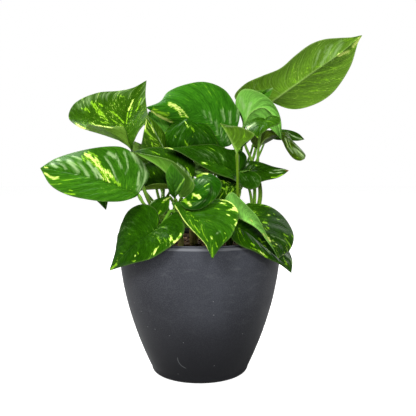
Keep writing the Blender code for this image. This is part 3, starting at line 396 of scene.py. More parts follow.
        shine=[(5.0, [(9, 181), (14, 178)]), (5.0, [(0, 189), (9, 191)]), (3.0, [(-7, 166), (6, 171)])]),
    "leaf_centre_round": dict(
        stem="stem_centre", starts=0.99, stalk=[(-6, 214, 18), (-12, 234, 18)],
        rib=[(-14, 244, 13), (-13.5, 251, 4), (-8, 243, -4), (-5, 233, -3), (-5, 225, 0), (-6, 216, 4)],
        left=[(-23, 246, 11), (-34, 239, 3), (-36.5, 228, -4), (-28, 219, -2)],
        right=[(-3, 247, 13), (8.5, 244.5, 11), (15.5, 233.5, 10), (18.3, 224, 12), (8, 217, 9)],
        top=(0.0, -0.9, 0.4), fresh=0.37, yellow=0.0, under=(0.5, 0.08), flecks=0.15, streaks=0.15,
        painted_sheen_strength=0.2,
        cream=[(1.4, [(-14.3, 248), (-11.3, 242.5)])],
        lime=[(1.6, [(-14.6, 248.5), (-11, 242)]), (1.8, [(-8.3, 243), (-5.6, 238)]),
            (1.2, [(-7, 234), (-6.8, 233)]), (1.9, [(-15, 230.3), (-11.8, 224)]),
            (1.2, [(-24.5, 236), (-23.5, 233)])],
        shine=[(3.0, [(-4.5, 226.3), (-1, 226.5)]), (8.0, [(-23, 234), (-17, 243)]),
            (7.0, [(-2, 239), (6, 231)])]),
    "leaf_crown": dict(
        stem="stem_centre", starts=0.97, stalk=[(14, 200, 24), (21, 212, 33)],
        rib=[(24, 223.5, 26), (16, 243, 24), (-2, 257, 21), (-26, 262.5, 13), (-52.3, 262, 3)],
        left=[(20, 221, 29), (6, 228, 31), (-10, 238, 28), (-29, 247.3, 18), (-41, 253, 10)],
        right=[(31, 226, 21), (37.5, 244, 12), (39.3, 256, 9), (35, 264.5, 12), (24, 279.5, 20),
            (4, 286.8, 32), (-18, 283, 36), (-31, 277, 30), (-39, 267.3, 14)],
        top=(-0.1, -0.8, 0.6), belly=3.0, fresh=0.59, yellow=-0.02, flecks=0.05, painted_sheen_strength=0.62, pucker=1.0,
        cream=[(3.6, [(-29.5, 265), (-25, 263.5), (-21, 260)]), (2.0, [(-21, 260), (-18, 253)]),
            (1.6, [(-19.5, 262), (-15.5, 257), (-12, 251.8)]), (3.4, [(-47, 257.5), (-41, 253.5)]),
            (4.6, [(-41, 253.5), (-35, 250.8), (-29.5, 247.5)])],
        lime=[(3.4, [(-45, 260), (-39, 257), (-32, 254.5)]), (1.5, [(-31, 257.5), (-30, 255)]),
            (2.4, [(-18, 253), (-14, 252.5)]), (1.4, [(-29.5, 273.5), (-29, 272.5)]),
            (1.3, [(29, 260), (29.8, 257.5)])],
        shine=[(3.4, [(22.5, 259), (24.5, 250)]), (3.0, [(30, 258), (30.2, 247)]),
            (2.6, [(37.5, 259), (37, 249)]), (3.2, [(15.5, 248), (17.5, 236)]),
            (3.4, [(20.5, 242), (22, 230)]), (2.6, [(3, 258), (7, 249)]), (2.6, [(9.5, 257), (12, 247)]),
            (3.0, [(26, 235), (28.5, 227)])]),
    # Its pale green is painted light for the shade it sits in.
    "leaf_filler_left": dict(
        stem="stem_centre", starts=0.9, stalk=[(-14, 204, 22), (-21, 216, 27)],
        rib=[(-24, 225, 25), (-34, 240, 24), (-50, 258, 17)],
        left=[(-32, 222, 20), (-43, 229, 14), (-50, 240, 10), (-52, 250, 12)],
        right=[(-19, 237, 31), (-24, 249, 31), (-38, 257, 25)],
        top=(-0.3, -0.8, 0.5), belly=1.0, fresh=0.9, yellow=0.06, under=(0.5, 0.08), flecks=0.15,
        streaks=0.15),
    "leaf_funnel_right": dict(
        stem="stem_front_right", starts=0.9, stalk=[(37, 170, -46), (37.5, 190, -43), (37.3, 206, -36)],
        rib=[(36.8, 217, -28), (31, 229, -21), (25, 239.5, -15), (20, 246.5, -11)],
        left=[(37, 225, -17), (34, 236, -7), (27, 243, -7)],
        right=[(39.5, 221.5, -31), (43.5, 226.5, -34), (49, 230.3, -33), (54, 235.9, -29),
            (47.7, 239.7, -27), (40.3, 242.8, -25), (28, 244.6, -17)],
        top=(0.0, 0.8, 0.6), belly=-1.5, fresh=0.4, yellow=0.05, under=(0.6, 0.18), flecks=0.1,
        streaks=0.5, stalk_green=(0.51, 0.22), flare=0.7, joint=0.3,
        lime=[(1.5, [(44, 234.5), (45.5, 232.5)]), (1.2, [(34.5, 224.5), (36, 222)])],
        shine=[(1.2, [(25, 243.7), (33, 243.3)])]),
    # The cream and shine marks at its left end paint a highlight.
    "leaf_right_glossy": dict(
        stem="stem_right", starts=0.97, stalk=[(57.5, 216, 17), (60, 238, 9)],
        rib=[(64, 251, 4), (62, 247, -8), (59, 240, -18), (57.3, 231.7, -22)],
        left=[(56, 252, 6), (47.5, 247, 0), (45.5, 242, -8), (51.5, 237, -17)],
        right=[(72, 254, 4), (79, 251.5, -2), (78, 246, -9), (68.5, 242, -17), (61, 236.3, -21)],
        top=(0.0, -0.7, 0.7), belly=1.0, fresh=0.44, yellow=0.07, under=(0.66, 0.08), flecks=0.0,
        streaks=0.0, pucker=0.5,
        cream=[(0.9, [(47.5, 242.9), (50, 243.6)])],
        lime=[(1.4, [(56.5, 233.5), (57.5, 231.8)])],
        shine=[(3.0, [(47, 242), (54, 246)])]),
    "leaf_right_bright": dict(
        stem="stem_right", starts=0.38, stalk=[(54, 165, 13), (54, 190, 19), (51, 210, 22), (45, 225, 17)],
        rib=[(42.3, 242.5, 24), (50, 257, 21), (62, 262, 19), (74, 252, 18), (80.6, 230, 18)],
        left=[(41.6, 254, 20), (35, 266, 20), (41.6, 279, 16), (57, 277.5, 13), (71.5, 267, 12),
            (79.2, 252, 14)],
        right=[(49, 244, 30), (59, 245, 31), (70, 241, 27), (77, 234.5, 22)],
        top=(0.0, 0.8, 0.6), fresh=0.52, yellow=0.04, under=(1.02, 0.1), flecks=0.2, stout=1.3,
        shine=[(4.0, [(40, 271), (43, 262)]), (3.0, [(50, 266), (46, 254)])]),
    "leaf_tip_behind": dict(
        stem="stem_back_right", starts=0.95, stalk=[(42, 226, 44), (45, 250, 35)],
        rib=[(48, 264, 29), (58, 272, 27), (71.9, 281.2, 24)],
        left=[(46, 271, 28), (50, 277, 25), (60, 278.5, 23)],
        right=[(55, 264, 28), (62, 267, 26), (68.5, 272.5, 24)],
        top=(0.0, -0.6, 0.8), belly=0.5, fresh=0.7, yellow=0.04, flecks=0.0,
        shine=[(1.6, [(66, 277.5), (71.5, 281)])]),
    "leaf_top_right": dict(
        stem="stem_back_right", starts=0.98, stalk=[(52.5, 212, 44), (59, 240, 40)],
        rib=[(70.5, 267.5, 38), (94, 284, 30), (117, 300.5, 22), (136, 313.5, 14), (158.5, 332, 6)],
        left=[(62, 266, 44), (46, 263, 50), (34, 272, 48), (44, 284.5, 39), (61, 292.5, 32),
            (79, 300, 26), (93, 312, 20), (108, 323, 16), (121, 327.8, 13), (135, 329.2, 11),
            (149, 330, 9)],
        right=[(78, 264, 42), (89, 260.5, 44), (100.6, 261, 42), (117.5, 267, 39), (128.6, 274.5, 35),
            (137, 284, 30), (148, 302.6, 21), (153, 319, 13), (154.5, 324.5, 10)],
        top=(0.0, 0.6, 0.8), belly=3.0, fresh=0.52, yellow=0.05, under=(0.72, 0.2), streaks=0.2,
        painted_sheen_strength=0.8, stout=1.2,
        cream=[(3.6, [(136, 312.8), (141, 314.8), (145, 316)]),
            (3.4, [(150, 321), (153, 325), (157.5, 330)])],
        lime=[(1.5, [(108, 293), (115, 295.4), (122.5, 296.5), (131.5, 296)]),
            (1.4, [(92.5, 283), (103.5, 284)]), (1.4, [(110.5, 281.6), (115, 281.6)]),
            (1.5, [(106, 301.5), (103, 295)]), (1.2, [(84, 288), (84.7, 288)]),
            (1.3, [(75.5, 264), (76.5, 263.8)]), (1.3, [(125, 288), (127, 288.5)]),
            (2.6, [(134, 312), (147, 317)]), (1.4, [(148, 318), (149, 317.6)]),
            (2.0, [(141, 326.5), (150, 329)]), (1.3, [(115, 290), (118, 290.5)]),
            (1.2, [(91, 286.5), (104, 287.5), (118.5, 286)]),
            (1.1, [(119, 289), (131, 290), (141.5, 289)]),
            (1.3, [(105.5, 277.5), (117, 279), (128.5, 278.5)]),
            (1.2, [(95.5, 273.5), (104, 273), (112, 271)]),
            (1.3, [(106, 300.5), (120, 302), (133, 300.5)]), (1.1, [(84, 276), (93, 278), (101, 278)])],
        shine=[(3.6, [(119, 304), (125, 313), (128.5, 322)]), (4.6, [(129, 310), (134, 318), (138, 326)]),
            (2.6, [(111, 301), (114.5, 309), (117, 317)]), (2.0, [(124, 322), (122, 315)]),
            (1.4, [(56, 286), (52, 279)])]),
    "leaf_right_drooping": dict(
        stem="stem_right", starts=0.96, stalk=[(57.5, 210, 30)],
        rib=[(57.6, 221.5, 30), (65, 231.5, 32), (80, 236, 38), (90, 226.5, 37), (99, 216, 34),
            (103.5, 211.5, 32)],
        left=[(50, 230.5, 23), (57, 237, 25), (68, 240, 33), (78.5, 235, 34), (85.5, 221, 30),
            (92.7, 212, 28), (99, 209.8, 29)],
        right=[(50.5, 224.5, 33), (60.5, 225.3, 40), (71, 230.3, 47), (84, 237.8, 50), (91.5, 229.5, 46),
            (101, 220, 41), (104.5, 215, 36)],
        top=(0.2, 0.4, 0.9), belly=1.0, fresh=0.46, yellow=0.25, under=(0.34, 0.3), flecks=0.0,
        streaks=0.3,
        cream=[(0.7, [(84.5, 231), (87, 223)]), (0.7, [(96, 220), (101.5, 215)])],
        lime=[(0.7, [(94, 214), (97.5, 212.2)]), (0.9, [(87.5, 229), (91, 221)])],
        shine=[(1.3, [(84, 231.7), (86.8, 223.4), (91.7, 217.4)]),
            (1.1, [(86.8, 232.7), (89.5, 224), (92, 218.5)]),
            (4.4, [(94, 221.5), (98.5, 217.3), (102.5, 213.8)]), (1.2, [(94, 225.5), (100, 219.6)])]),
    "leaf_right_far": dict(
        stem="stem_back_right", starts=0.9, stalk=[(57, 212, 56)],
        rib=[(67, 236, 64), (84, 237, 63), (103.2, 230.8, 56)],
        left=[(70, 240, 70), (87, 240, 68), (97.5, 236.3, 61)],
        right=[(73, 231, 61), (87, 230, 57), (97, 229.5, 55)],
        top=(0.1, -0.4, 0.9), belly=0.6, fresh=0.26, yellow=0.1, under=(0.5, 0.08), flecks=0.0,
        painted_sheen_strength=0.85,
        shine=[(1.5, [(86.5, 237.5), (91.5, 234), (100, 231)])]),
    "leaf_right_pointed": dict(
        stem="stem_right", starts=0.32, stalk=[(52, 158, 7), (49, 182, 14)],
        rib=[(41, 197, 5), (56, 201, 2), (72, 200, 0), (88, 200, 0)],
        left=[(39, 205, 13), (46, 209.4, 15), (58, 208.7, 13), (73, 203.9, 8), (84, 201.5, 2)],
        right=[(46, 191, -2), (55, 188, -7), (66, 190.5, -8), (77, 193, -6), (84, 196.8, -3)],
        top=(0.0, -0.4, 0.9), belly=1.0, fresh=0.3, yellow=0.06, under=(0.5, 0.08), flecks=0.15, dry=1.0,
        stout=1.2,
        lime=[(1.5, [(70.5, 193.2), (76, 193.6), (82, 196)]), (1.6, [(55, 205.5), (56.5, 205)])],
        shine=[(2.0, [(42, 204), (47, 206)]), (1.0, [(71.5, 200.5), (79, 200.6), (85, 201.2)]),
            (0.9, [(69, 198), (76, 197.6), (82, 198.8)])]),
    "leaf_front_centre": dict(
        stem="stem_front", starts=0.7, stalk=[(-8, 148, -50), (-21, 157, -52)],
        rib=[(-26.5, 167.5, -56), (-9, 156, -70), (1, 151.5, -81), (7.5, 143.5, -91), (11.5, 133, -97),
            (12.5, 112.2, -98)],
        left=[(-28, 167.5, -58), (-21.3, 160, -66), (-14.4, 148.3, -75), (-3, 136.2, -85),
            (5, 127.5, -92), (9, 120, -96)],
        right=[(-20, 169, -55), (-8, 169, -56), (8, 171.5, -58), (24, 171.3, -60), (34, 166, -65),
            (39, 156, -73), (35.5, 144, -82), (30.5, 133.8, -89), (21, 124.5, -95)],
        top=(0.1, -0.7, 0.7), belly=1.5, fresh=0.53, yellow=0.03, flecks=0.3,
        cream=[(1.5, [(20.5, 170.8), (27, 170.5), (33.5, 166), (38, 159)]),
            (1.8, [(21, 168.3), (25.5, 167)]), (3.0, [(38, 161.5), (33, 162)]),
            (1.6, [(33, 162), (28, 161)]), (1.3, [(25.8, 157.2), (30.6, 155)]),
            (1.5, [(34.2, 151.8), (36.2, 150.8)]), (2.4, [(35, 146), (37.2, 148.7)]),
            (1.2, [(24.4, 138.3), (25.8, 136.4)]), (1.6, [(10.9, 134.3), (12.8, 131.5)]),
            (0.9, [(-25, 166), (-15.5, 150.7), (-7, 140.7), (0.2, 133.5)]),
            (0.9, [(0.2, 133.5), (5.9, 127), (10, 116.4)])],
        lime=[(2.0, [(19, 169), (26, 166)]), (1.4, [(15.8, 163.3), (19.3, 161.3)]),
            (1.2, [(12, 162), (12.8, 162)]), (1.3, [(-10, 157), (-6, 154)]),
            (1.3, [(-5, 151), (-1.5, 150)]), (1.5, [(-5.5, 145.5), (0, 138.5)]),
            (1.3, [(23.6, 130), (26.5, 134)]), (1.6, [(12.3, 126), (12.6, 114)]),
            (1.4, [(4, 137), (8, 130)]), (1.5, [(15.5, 129), (17, 124)])],
        shine=[(1.4, [(16, 137), (20, 139.5)])]),
    "leaf_right_trough": dict(
        stem="stem_front_right", starts=0.93, stalk=[(34, 154, -52)],
        rib=[(37.8, 154, -60), (45.5, 150, -66), (54.3, 145, -70), (61, 139, -71), (67, 130.5, -70),
            (73.3, 122, -68), (78.4, 112.5, -64)],
        left=[(32, 160, -60), (25, 172, -52), (31.5, 178.5, -58), (38, 174, -66), (48, 164.2, -75),
            (57, 154.5, -80), (63.4, 143, -80), (68, 133, -77)],
        right=[(43.5, 160, -52), (47, 167.5, -43), (55, 167.5, -38), (67, 165.5, -36), (79.5, 158, -33),
            (89, 146.5, -32), (93.5, 135, -35), (91, 123, -43)],
        top=(0.5, -0.3, 0.8), belly=1.5, fresh=0.32, yellow=0.06, under=(1.08, 0.12), flecks=0.35,
        streaks=0.3, painted_sheen_strength=0.5,
        cream=[(1.3, [(72.5, 130.5), (73.5, 130)]), (1.4, [(76, 127), (76.6, 126.4)]),
            (1.4, [(83, 116.2), (83.8, 115.8)]), (1.6, [(50.3, 152), (52.5, 149.5)]),
            (2.0, [(63.4, 137.8), (67.7, 133.2), (70, 129.5)]), (1.2, [(67.8, 156), (69, 156)])],
        lime=[(1.9, [(67.3, 156.2), (69.5, 155.8)]), (1.6, [(76.5, 151.8), (78.7, 151.6)]),
            (1.6, [(62.5, 148.5), (66.5, 148.7)]), (1.5, [(63.8, 143.5), (67.7, 140.3)]),
            (1.4, [(66, 144.5), (69, 142)]), (1.4, [(83, 137), (87.8, 133.8)]),
            (1.2, [(92, 134.5), (93, 133.5)]), (1.2, [(85.5, 126.5), (87, 125)]),
            (1.4, [(83.5, 119), (85, 118)]), (1.3, [(73, 157), (74, 156.6)]),
            (1.5, [(77.5, 114), (78.4, 112.8)])],
        shine=[(1.4, [(70, 136), (80, 132), (90, 127)])]),
    "leaf_front_right": dict(
        stem="stem_front_right", starts=0.78, stalk=[(32, 146.5, -48)],
        rib=[(36, 146, -58), (47, 139, -60), (60, 128, -58), (76, 114, -53), (91.6, 97.5, -44)],
        left=[(37.5, 151.5, -54), (43, 155, -49), (54, 151.5, -43), (68, 143, -34), (82, 131, -29),
            (92, 112, -33)],
        right=[(32, 142, -64), (31, 134, -71), (34, 129.8, -75), (42, 124.6, -76), (54.5, 119.5, -73),
            (67, 112.6, -66), (80, 106.5, -56)],
        top=(0.2, -0.7, 0.7), belly=1.5, fresh=0.33, yellow=0.05, under=(0.5, 0.08), flecks=0.15,
        streaks=0.2,
        cream=[(1.5, [(60, 119), (64, 116)])],
        lime=[(2.4, [(58, 120.5), (62.5, 117.5), (67, 113.5)]), (1.7, [(51.3, 127.5), (54.3, 125.3)]),
            (1.5, [(58.5, 133.2), (62, 128.2)]), (1.2, [(63.5, 126), (65.5, 124.5)]),
            (1.7, [(83.3, 113.3), (87, 106.2)]), (1.4, [(50, 124), (56, 121)]),
            (1.2, [(68, 120), (70, 118)])],
        shine=[(1.2, [(91, 112), (92.5, 102)])]),
    "leaf_side_right": dict(
        stem="stem_right", starts=0.5, stalk=[(57, 148, 6)],
        rib=[(63, 151, 4), (72, 149, 5), (82, 138, 7), (88, 114, 10)],
        left=[(64, 157, 12), (76, 157, 19), (86, 144, 22), (90, 126, 17)],
        right=[(65, 146, -4), (74, 141, -11), (84, 131, -9), (89, 121, -1)],
        top=(0.7, -0.1, 0.7), belly=1.5, fresh=0.34, yellow=0.02, streaks=0.3),
    "leaf_side_left": dict(
        stem="stem_left", starts=0.55, stalk=[(-46, 147, 2)],
        rib=[(-55, 151, 5), (-64, 152, 8), (-75, 145, 11), (-81.5, 131.5, 13), (-84, 112, 15)],
        left=[(-57, 146, -3), (-68, 144, -9), (-80, 139, -8), (-82.5, 128.5, 0)],
        right=[(-55, 157, 13), (-66, 158, 21), (-77, 149, 27), (-82, 128, 25)],
        top=(-0.7, -0.1, 0.7), belly=1.0, fresh=0.38, yellow=0.03, streaks=0.3),
    "leaf_back_high": dict(
        stem="stem_centre", starts=0.93, stalk=[(2, 206, 36), (0, 224, 50)],
        rib=[(0, 236, 54), (2, 250, 68), (4, 255, 88), (6, 244, 114)],
        left=[(-11, 240, 52), (-26, 246, 62), (-30, 254, 80), (-18, 252, 100)],
        right=[(12, 240, 54), (28, 246, 64), (32, 256, 82), (22, 252, 102)],
        top=(0.0, 0.6, 0.8), fresh=0.42, yellow=0.02, under=(0.66, 0.1), streaks=0.4,
        cream=[(1.6, [(6, 250), (10, 258), (16, 264)]), (1.1, [(14, 246), (20, 251), (26, 254)]),
            (1.2, [(-6, 243), (-13, 252), (-17, 260)])],
        lime=[(3.8, [(8, 248), (13, 258)]), (2.6, [(-10, 246), (-20, 252)]), (1.9, [(0, 262), (3, 270)])]),
    "leaf_back_left": dict(
        stem="stem_back_left", starts=0.95, stalk=[(-26, 180, 42)],
        rib=[(-46, 196, 44), (-68, 202, 58), (-96, 200, 74), (-128, 188, 86)],
        left=[(-47, 204, 52), (-64, 212, 66), (-88, 216, 84), (-114, 207, 92)],
        right=[(-54, 191, 44), (-66, 184, 50), (-90, 179, 64), (-114, 179, 78)],
        top=(-0.3, 0.1, 1.0), fresh=0.44, yellow=0.03, under=(0.66, 0.1), streaks=0.5,
        cream=[(1.9, [(-80, 203), (-86, 212), (-93, 219)]), (1.4, [(-88, 200), (-97, 205)]),
            (1.1, [(-68, 193), (-79, 188), (-88, 186)])],
        lime=[(5.0, [(-78, 201), (-86, 210), (-95, 216)]), (2.9, [(-84, 194), (-96, 192)]),
            (2.2, [(-62, 206), (-66, 214)])]),
    "leaf_back_right": dict(
        stem="stem_back_right", starts=0.99, stalk=[(51, 220, 58), (57, 250, 60)],
        rib=[(64, 269, 64), (86, 282, 78), (108, 291, 90), (132, 295, 100)],
        left=[(56, 276, 62), (64, 286, 66), (86, 298, 76), (112, 307, 90)],
        right=[(74, 269, 67), (92, 267, 84), (112, 272, 100)],
        top=(0.1, 0.5, 0.9), belly=2.5, fresh=0.48, yellow=0.04, under=(0.68, 0.1), streaks=0.5,
        cream=[(1.5, [(82, 287), (84, 295), (89, 302)]), (1.2, [(90, 290), (95, 299)]),
            (1.1, [(92, 284), (102, 282), (109, 278)])],
        lime=[(3.8, [(86, 288), (91, 298)]), (2.9, [(84, 281), (96, 276)])]),
    "leaf_back_low_left": dict(
        stem="stem_back_left", starts=0.8, stalk=[(-36, 156, 58)],
        rib=[(-44, 158, 72), (-50, 150, 88), (-54, 136, 104), (-56, 114, 112)],
        left=[(-52, 161, 68), (-66, 154, 77), (-72, 138, 92), (-66, 122, 106)],
        right=[(-38, 163, 76), (-26, 154, 94), (-28, 138, 112), (-42, 122, 116)],
        top=(-0.2, 0.8, 0.6), fresh=0.34, yellow=0.02, flecks=0.3, streaks=0.3,
        cream=[(1.2, [(-54, 150), (-61, 152)]), (1.1, [(-56, 144), (-64, 143)]),
            (1.0, [(-44, 141), (-37, 133)])],
        lime=[(3.6, [(-54, 147), (-64, 148)]), (2.2, [(-46, 134), (-42, 127)])]),
    "leaf_back_low_mid": dict(
        stem="stem_back_right", starts=0.6, stalk=[(4, 150, 62)],
        rib=[(-8, 158, 78), (-8, 152, 94), (-7, 139, 108), (-8, 121, 114)],
        left=[(-15, 162, 75), (-25, 156, 88), (-26, 143, 102), (-17, 129, 112)],
        right=[(-1, 163, 78), (11, 157, 90), (12, 143, 104), (2, 129, 112)],
        top=(0.0, 0.8, 0.6), fresh=0.3, yellow=0.02, streaks=0.3,
        cream=[(1.1, [(1, 152), (7, 147)]), (1.0, [(-3, 146), (-9, 140)])],
        lime=[(3.1, [(1, 148), (9, 143)]), (1.9, [(3, 138), (9, 132)])]),
    "leaf_back_low_right": dict(
        stem="stem_back_right", starts=0.75, stalk=[(46, 154, 54)],
        rib=[(54, 159, 66), (62, 151, 80), (68, 138, 94), (72, 119, 102)],
        left=[(46, 163, 74), (43, 155, 88), (48, 139, 104), (60, 124, 108)],
        right=[(62, 162, 60), (76, 156, 64), (84, 142, 78), (82, 127, 94)],
        top=(0.3, 0.7, 0.6), fresh=0.36, yellow=0.03, flecks=0.35, streaks=0.3,
        cream=[(1.2, [(68, 148), (76, 143)]), (1.0, [(64, 140), (58, 134)])],
        lime=[(3.6, [(68, 144), (78, 139)]), (1.9, [(70, 132), (76, 127)])]),
    "leaf_back_mid": dict(
        stem="stem_back_left", starts=0.99, stalk=[(-16, 180, 50)],
        rib=[(-8, 202, 64), (-2, 208, 82), (2, 205, 102), (4, 192, 124)],
        left=[(-17, 207, 63), (-30, 208, 78), (-32, 204, 98), (-16, 197, 116)],
        right=[(1, 209, 63), (18, 214, 74), (28, 211, 94), (18, 201, 116)],
        top=(0.0, 0.3, 0.9), fresh=0.38, yellow=0.02, under=(0.64, 0.1), flecks=0.5, streaks=0.5,
        cream=[(1.4, [(3, 206), (9, 213), (17, 216)]), (1.1, [(8, 203), (18, 206)]),
            (1.2, [(-7, 204), (-15, 209), (-22, 210)])],
        lime=[(3.6, [(4, 205), (14, 212)]), (2.6, [(-9, 201), (-20, 203)])]),
    "leaf_back_upper_left": dict(
        stem="stem_back_left", starts=0.97, stalk=[(-38, 182, 52), (-47, 212, 58), (-51, 240, 60)],
        rib=[(-63, 259, 64), (-82, 267, 74), (-102, 264, 88), (-117, 254, 98)],
        left=[(-66, 266, 68), (-84, 273, 82), (-104, 269, 94)],
        right=[(-70, 252, 62), (-88, 248, 70), (-106, 246, 84)],
        top=(-0.3, 0.4, 0.9), fresh=0.48, yellow=0.04, under=(0.66, 0.1), streaks=0.3,
        cream=[(1.2, [(-82, 266), (-88, 273)]), (1.0, [(-86, 262), (-95, 262)])],
        lime=[(3.4, [(-80, 264), (-90, 268)]), (1.9, [(-76, 272), (-80, 279)])]),
    "leaf_back_crown": dict(
        stem="stem_centre", starts=0.99, stalk=[(7, 206, 34), (8, 236, 42)],
        rib=[(6, 260, 48), (-4, 270, 58), (-18, 273, 72), (-36, 265, 86)],
        left=[(-2, 257, 50), (-14, 260, 64), (-28, 261, 80)],
        right=[(12, 268, 50), (8, 279, 62), (-12, 282, 76), (-30, 274, 86)],
        top=(0.1, 0.5, 0.9), fresh=0.44, yellow=0.0, under=(0.66, 0.1), streaks=0.3,
        cream=[(1.2, [(-9, 274), (-13, 281)]), (1.0, [(-14, 270), (-21, 271)])],
        lime=[(3.1, [(-8, 272), (-17, 276)])]),
    "leaf_back_inner_right": dict(
        stem="stem_back_right", starts=0.85, stalk=[(24, 172, 62)],
        rib=[(20, 191, 70), (30, 200, 82), (43, 202, 98), (56, 194, 112)],
        left=[(15, 198, 74), (24, 207, 88), (42, 208, 106)],
        right=[(29, 188, 68), (43, 188, 78), (56, 188, 96)],
        top=(0.2, 0.4, 0.9), fresh=0.38, yellow=0.02, streaks=0.3,
        cream=[(1.1, [(33, 202), (37, 209)]), (0.9, [(38, 200), (44, 204)])],
        lime=[(2.9, [(34, 201), (41, 207)])]),
}
LEAVES = {name: {**USUAL_LEAF, **own} for name, own in LEAVES.items()}


def unit(vector):
    return vector / np.linalg.norm(vector)


def eased(value):
    """A smooth rise from 0 to 1 as the value goes from 0 to 1."""
    held = np.clip(value, 0, 1)
    return held * held * (3 - 2 * held)


def ridge(distance, width):
    """1 on a line, fading to nothing a little over one width away from it."""
    return np.exp(-(distance / width) ** 2)


def placed(points):
    """World positions of laid-out points."""
    across, up, depth = np.moveaxis(np.array(points, dtype=float), -1, 0)
    reach = (depth + EYE_DISTANCE) / EYE_DISTANCE
    return np.stack((across * reach, depth, EYE_HEIGHT + (up - EYE_HEIGHT) * reach), axis=-1) * MM


def steps_of(route):
    """Lengths of a route's steps."""
    return np.linalg.norm(np.diff(route, axis=0), axis=1)


def smooth_route(points, fractions):
    """Points of a smooth curve through the given ones, at fractions of its length."""
    points = np.asarray(points, dtype=float)
    knots = np.concatenate(([0.0], np.cumsum(np.sqrt(steps_of(points)))))
    slopes = np.empty_like(points)
    spans = np.diff(points, axis=0) / np.diff(knots)[:, None]
    slopes[0], slopes[-1] = spans[0], spans[-1]
    if len(points) > 2:
        before, after = np.diff(knots)[:-1, None], np.diff(knots)[1:, None]
        slopes[1:-1] = (spans[:-1] * after + spans[1:] * before) / (before + after)
    dense = [points[0]]
    for index, width in enumerate(np.diff(knots)):
        for part in np.linspace(0, 1, ROUTE_STEPS + 1)[1:]:
            dense.append((2 * part**3 - 3 * part**2 + 1) * points[index]
                         + (part**3 - 2 * part**2 + part) * width * slopes[index]
                         + (3 * part**2 - 2 * part**3) * points[index + 1]
                         + (part**3 - part**2) * width * slopes[index + 1])
    dense = np.array(dense)
    lengths = np.concatenate(([0.0], np.cumsum(steps_of(dense))))
    wanted = np.asarray(fractions) * lengths[-1]
    return np.stack([np.interp(wanted, lengths, dense[:, axis]) for axis in range(3)], axis=1)


def leaf_grid(leaf, along, spread):
    """Grid of a blade's points, rows from joint to tip and columns from margin to margin."""
    rib = placed(leaf["rib"])
    roots = smooth_route(rib, along ** VEIN_FAN)
    ahead = unit(rib[-1] - rib[0])
    top = unit(np.array(leaf["top"], dtype=float))
    across = spread[None, :, None]
    halves = []
    for side in ("left", "right"):
        ends = smooth_route(np.vstack((rib[:1], placed(leaf[side]), rib[-1:])), along)
        lift = unit(np.cross(ahead, np.sum(ends - roots, axis=0)))
        lift *= math.copysign(leaf["belly"] * MM, np.dot(lift, top))
        swell = (np.sin(along * math.pi) ** BULGE_FULLNESS)[:, None, None] * 4 * across * (1 - across)
        halves.append(roots[:, None] + (ends - roots)[:, None] * across + swell * lift)
    return np.concatenate((halves[0][:, :0:-1], halves[1]), axis=1)


def grid_facings(grid, top):
    """Unit facings over a grid, on the side of top, and whether its own winding agrees with them."""
    facings = np.cross(np.gradient(grid, axis=0), np.gradient(grid, axis=1))
    agrees = np.dot(facings.sum(axis=(0, 1)), top) > 0
    lengths = np.linalg.norm(facings, axis=2, keepdims=True)
    facings = facings / np.maximum(lengths, 1e-12) * (1 if agrees else -1)
    middle = grid.shape[1] // 2
    facings[0] = unit(facings[1:4, middle].sum(axis=0))
    facings[-1] = unit(facings[-4:-1, middle].sum(axis=0))
    return facings, agrees


def skin_indices(rows, columns):
    """Point numbers of a grid whose first and last rows are single points."""
    numbers = np.zeros((rows, columns), dtype=int)
    numbers[1:-1] = 1 + np.arange((rows - 2) * columns).reshape(rows - 2, columns)
    numbers[-1] = 1 + (rows - 2) * columns
    return numbers


def one_row_each(values):
    """Flattens a grid of values in the order that skin_indices numbers its points."""
    middle = values.shape[1] // 2
    inner = values[1:-1].reshape(-1, *values.shape[2:])
    return np.concatenate((values[:1, middle], inner, values[-1:, middle]))


def two_skins(grid, facings, agrees, above, below):
    """Points and faces of a closed sheet: an upper skin, a lower skin and the edge between them."""
    numbers = skin_indices(*grid.shape[:2])
    upper = one_row_each(grid + facings * above[..., None])
    lower = one_row_each(grid - facings * below[..., None])
    count = len(upper)
    quads = np.stack((numbers[:-1, :-1], numbers[1:, :-1], numbers[1:, 1:], numbers[:-1, 1:]), axis=-1)
    quads = quads.reshape(-1, 4)
    left, right = numbers[:, 0], numbers[:, -1]
    edge = [(left[1:], left[:-1], left[:-1] + count, left[1:] + count),
            (right[:-1], right[1:], right[1:] + count, right[:-1] + count)]
    edges = np.concatenate([np.stack(side, axis=-1) for side in edge])
    if not agrees:
        quads, edges = quads[:, ::-1], edges[:, ::-1]
    rings = [quads, quads[:, ::-1] + count, edges]
    faces = [tuple(dict.fromkeys(map(int, face))) for ring in rings for face in ring]
    skins = np.repeat([0, 1, 0], [len(ring) for ring in rings])
    return np.concatenate((upper, lower)), faces, skins


def made_piece(name, points, faces, skins, materials, notes):
    """A mesh object with its materials, and with notes stored at its points for them to read."""
    mesh = bpy.data.meshes.new(name)
    mesh.from_pydata(np.asarray(points).tolist(), [], faces)
    for material in materials:
        mesh.materials.append(material)
    mesh.polygons.foreach_set("material_index", np.asarray(skins, dtype=np.int32))
    kinds = {1: ("FLOAT", "value"), 3: ("FLOAT_VECTOR", "vector"), 4: ("FLOAT_COLOR", "color")}
    for label, values in notes.items():
        values = np.asarray(values, dtype=np.float32)
        kind, field = kinds[1 if values.ndim == 1 else values.shape[1]]
        mesh.attributes.new(label, kind, "POINT").data.foreach_set(field, values.ravel())
    mesh.shade_smooth()
    mesh.validate()
    mesh.update()
    made = bpy.data.objects.new(name, mesh)
    bpy.context.scene.collection.objects.link(made)
    return made


def laid_out(points):
    """Where the eye sees each point on the upright plane through the pot's axis, in millimetres."""
    points = points / MM
    reach = (points[..., 1] + EYE_DISTANCE) / EYE_DISTANCE
    return np.stack((points[..., 0] / reach, EYE_HEIGHT + (points[..., 2] - EYE_HEIGHT) / reach), axis=-1)


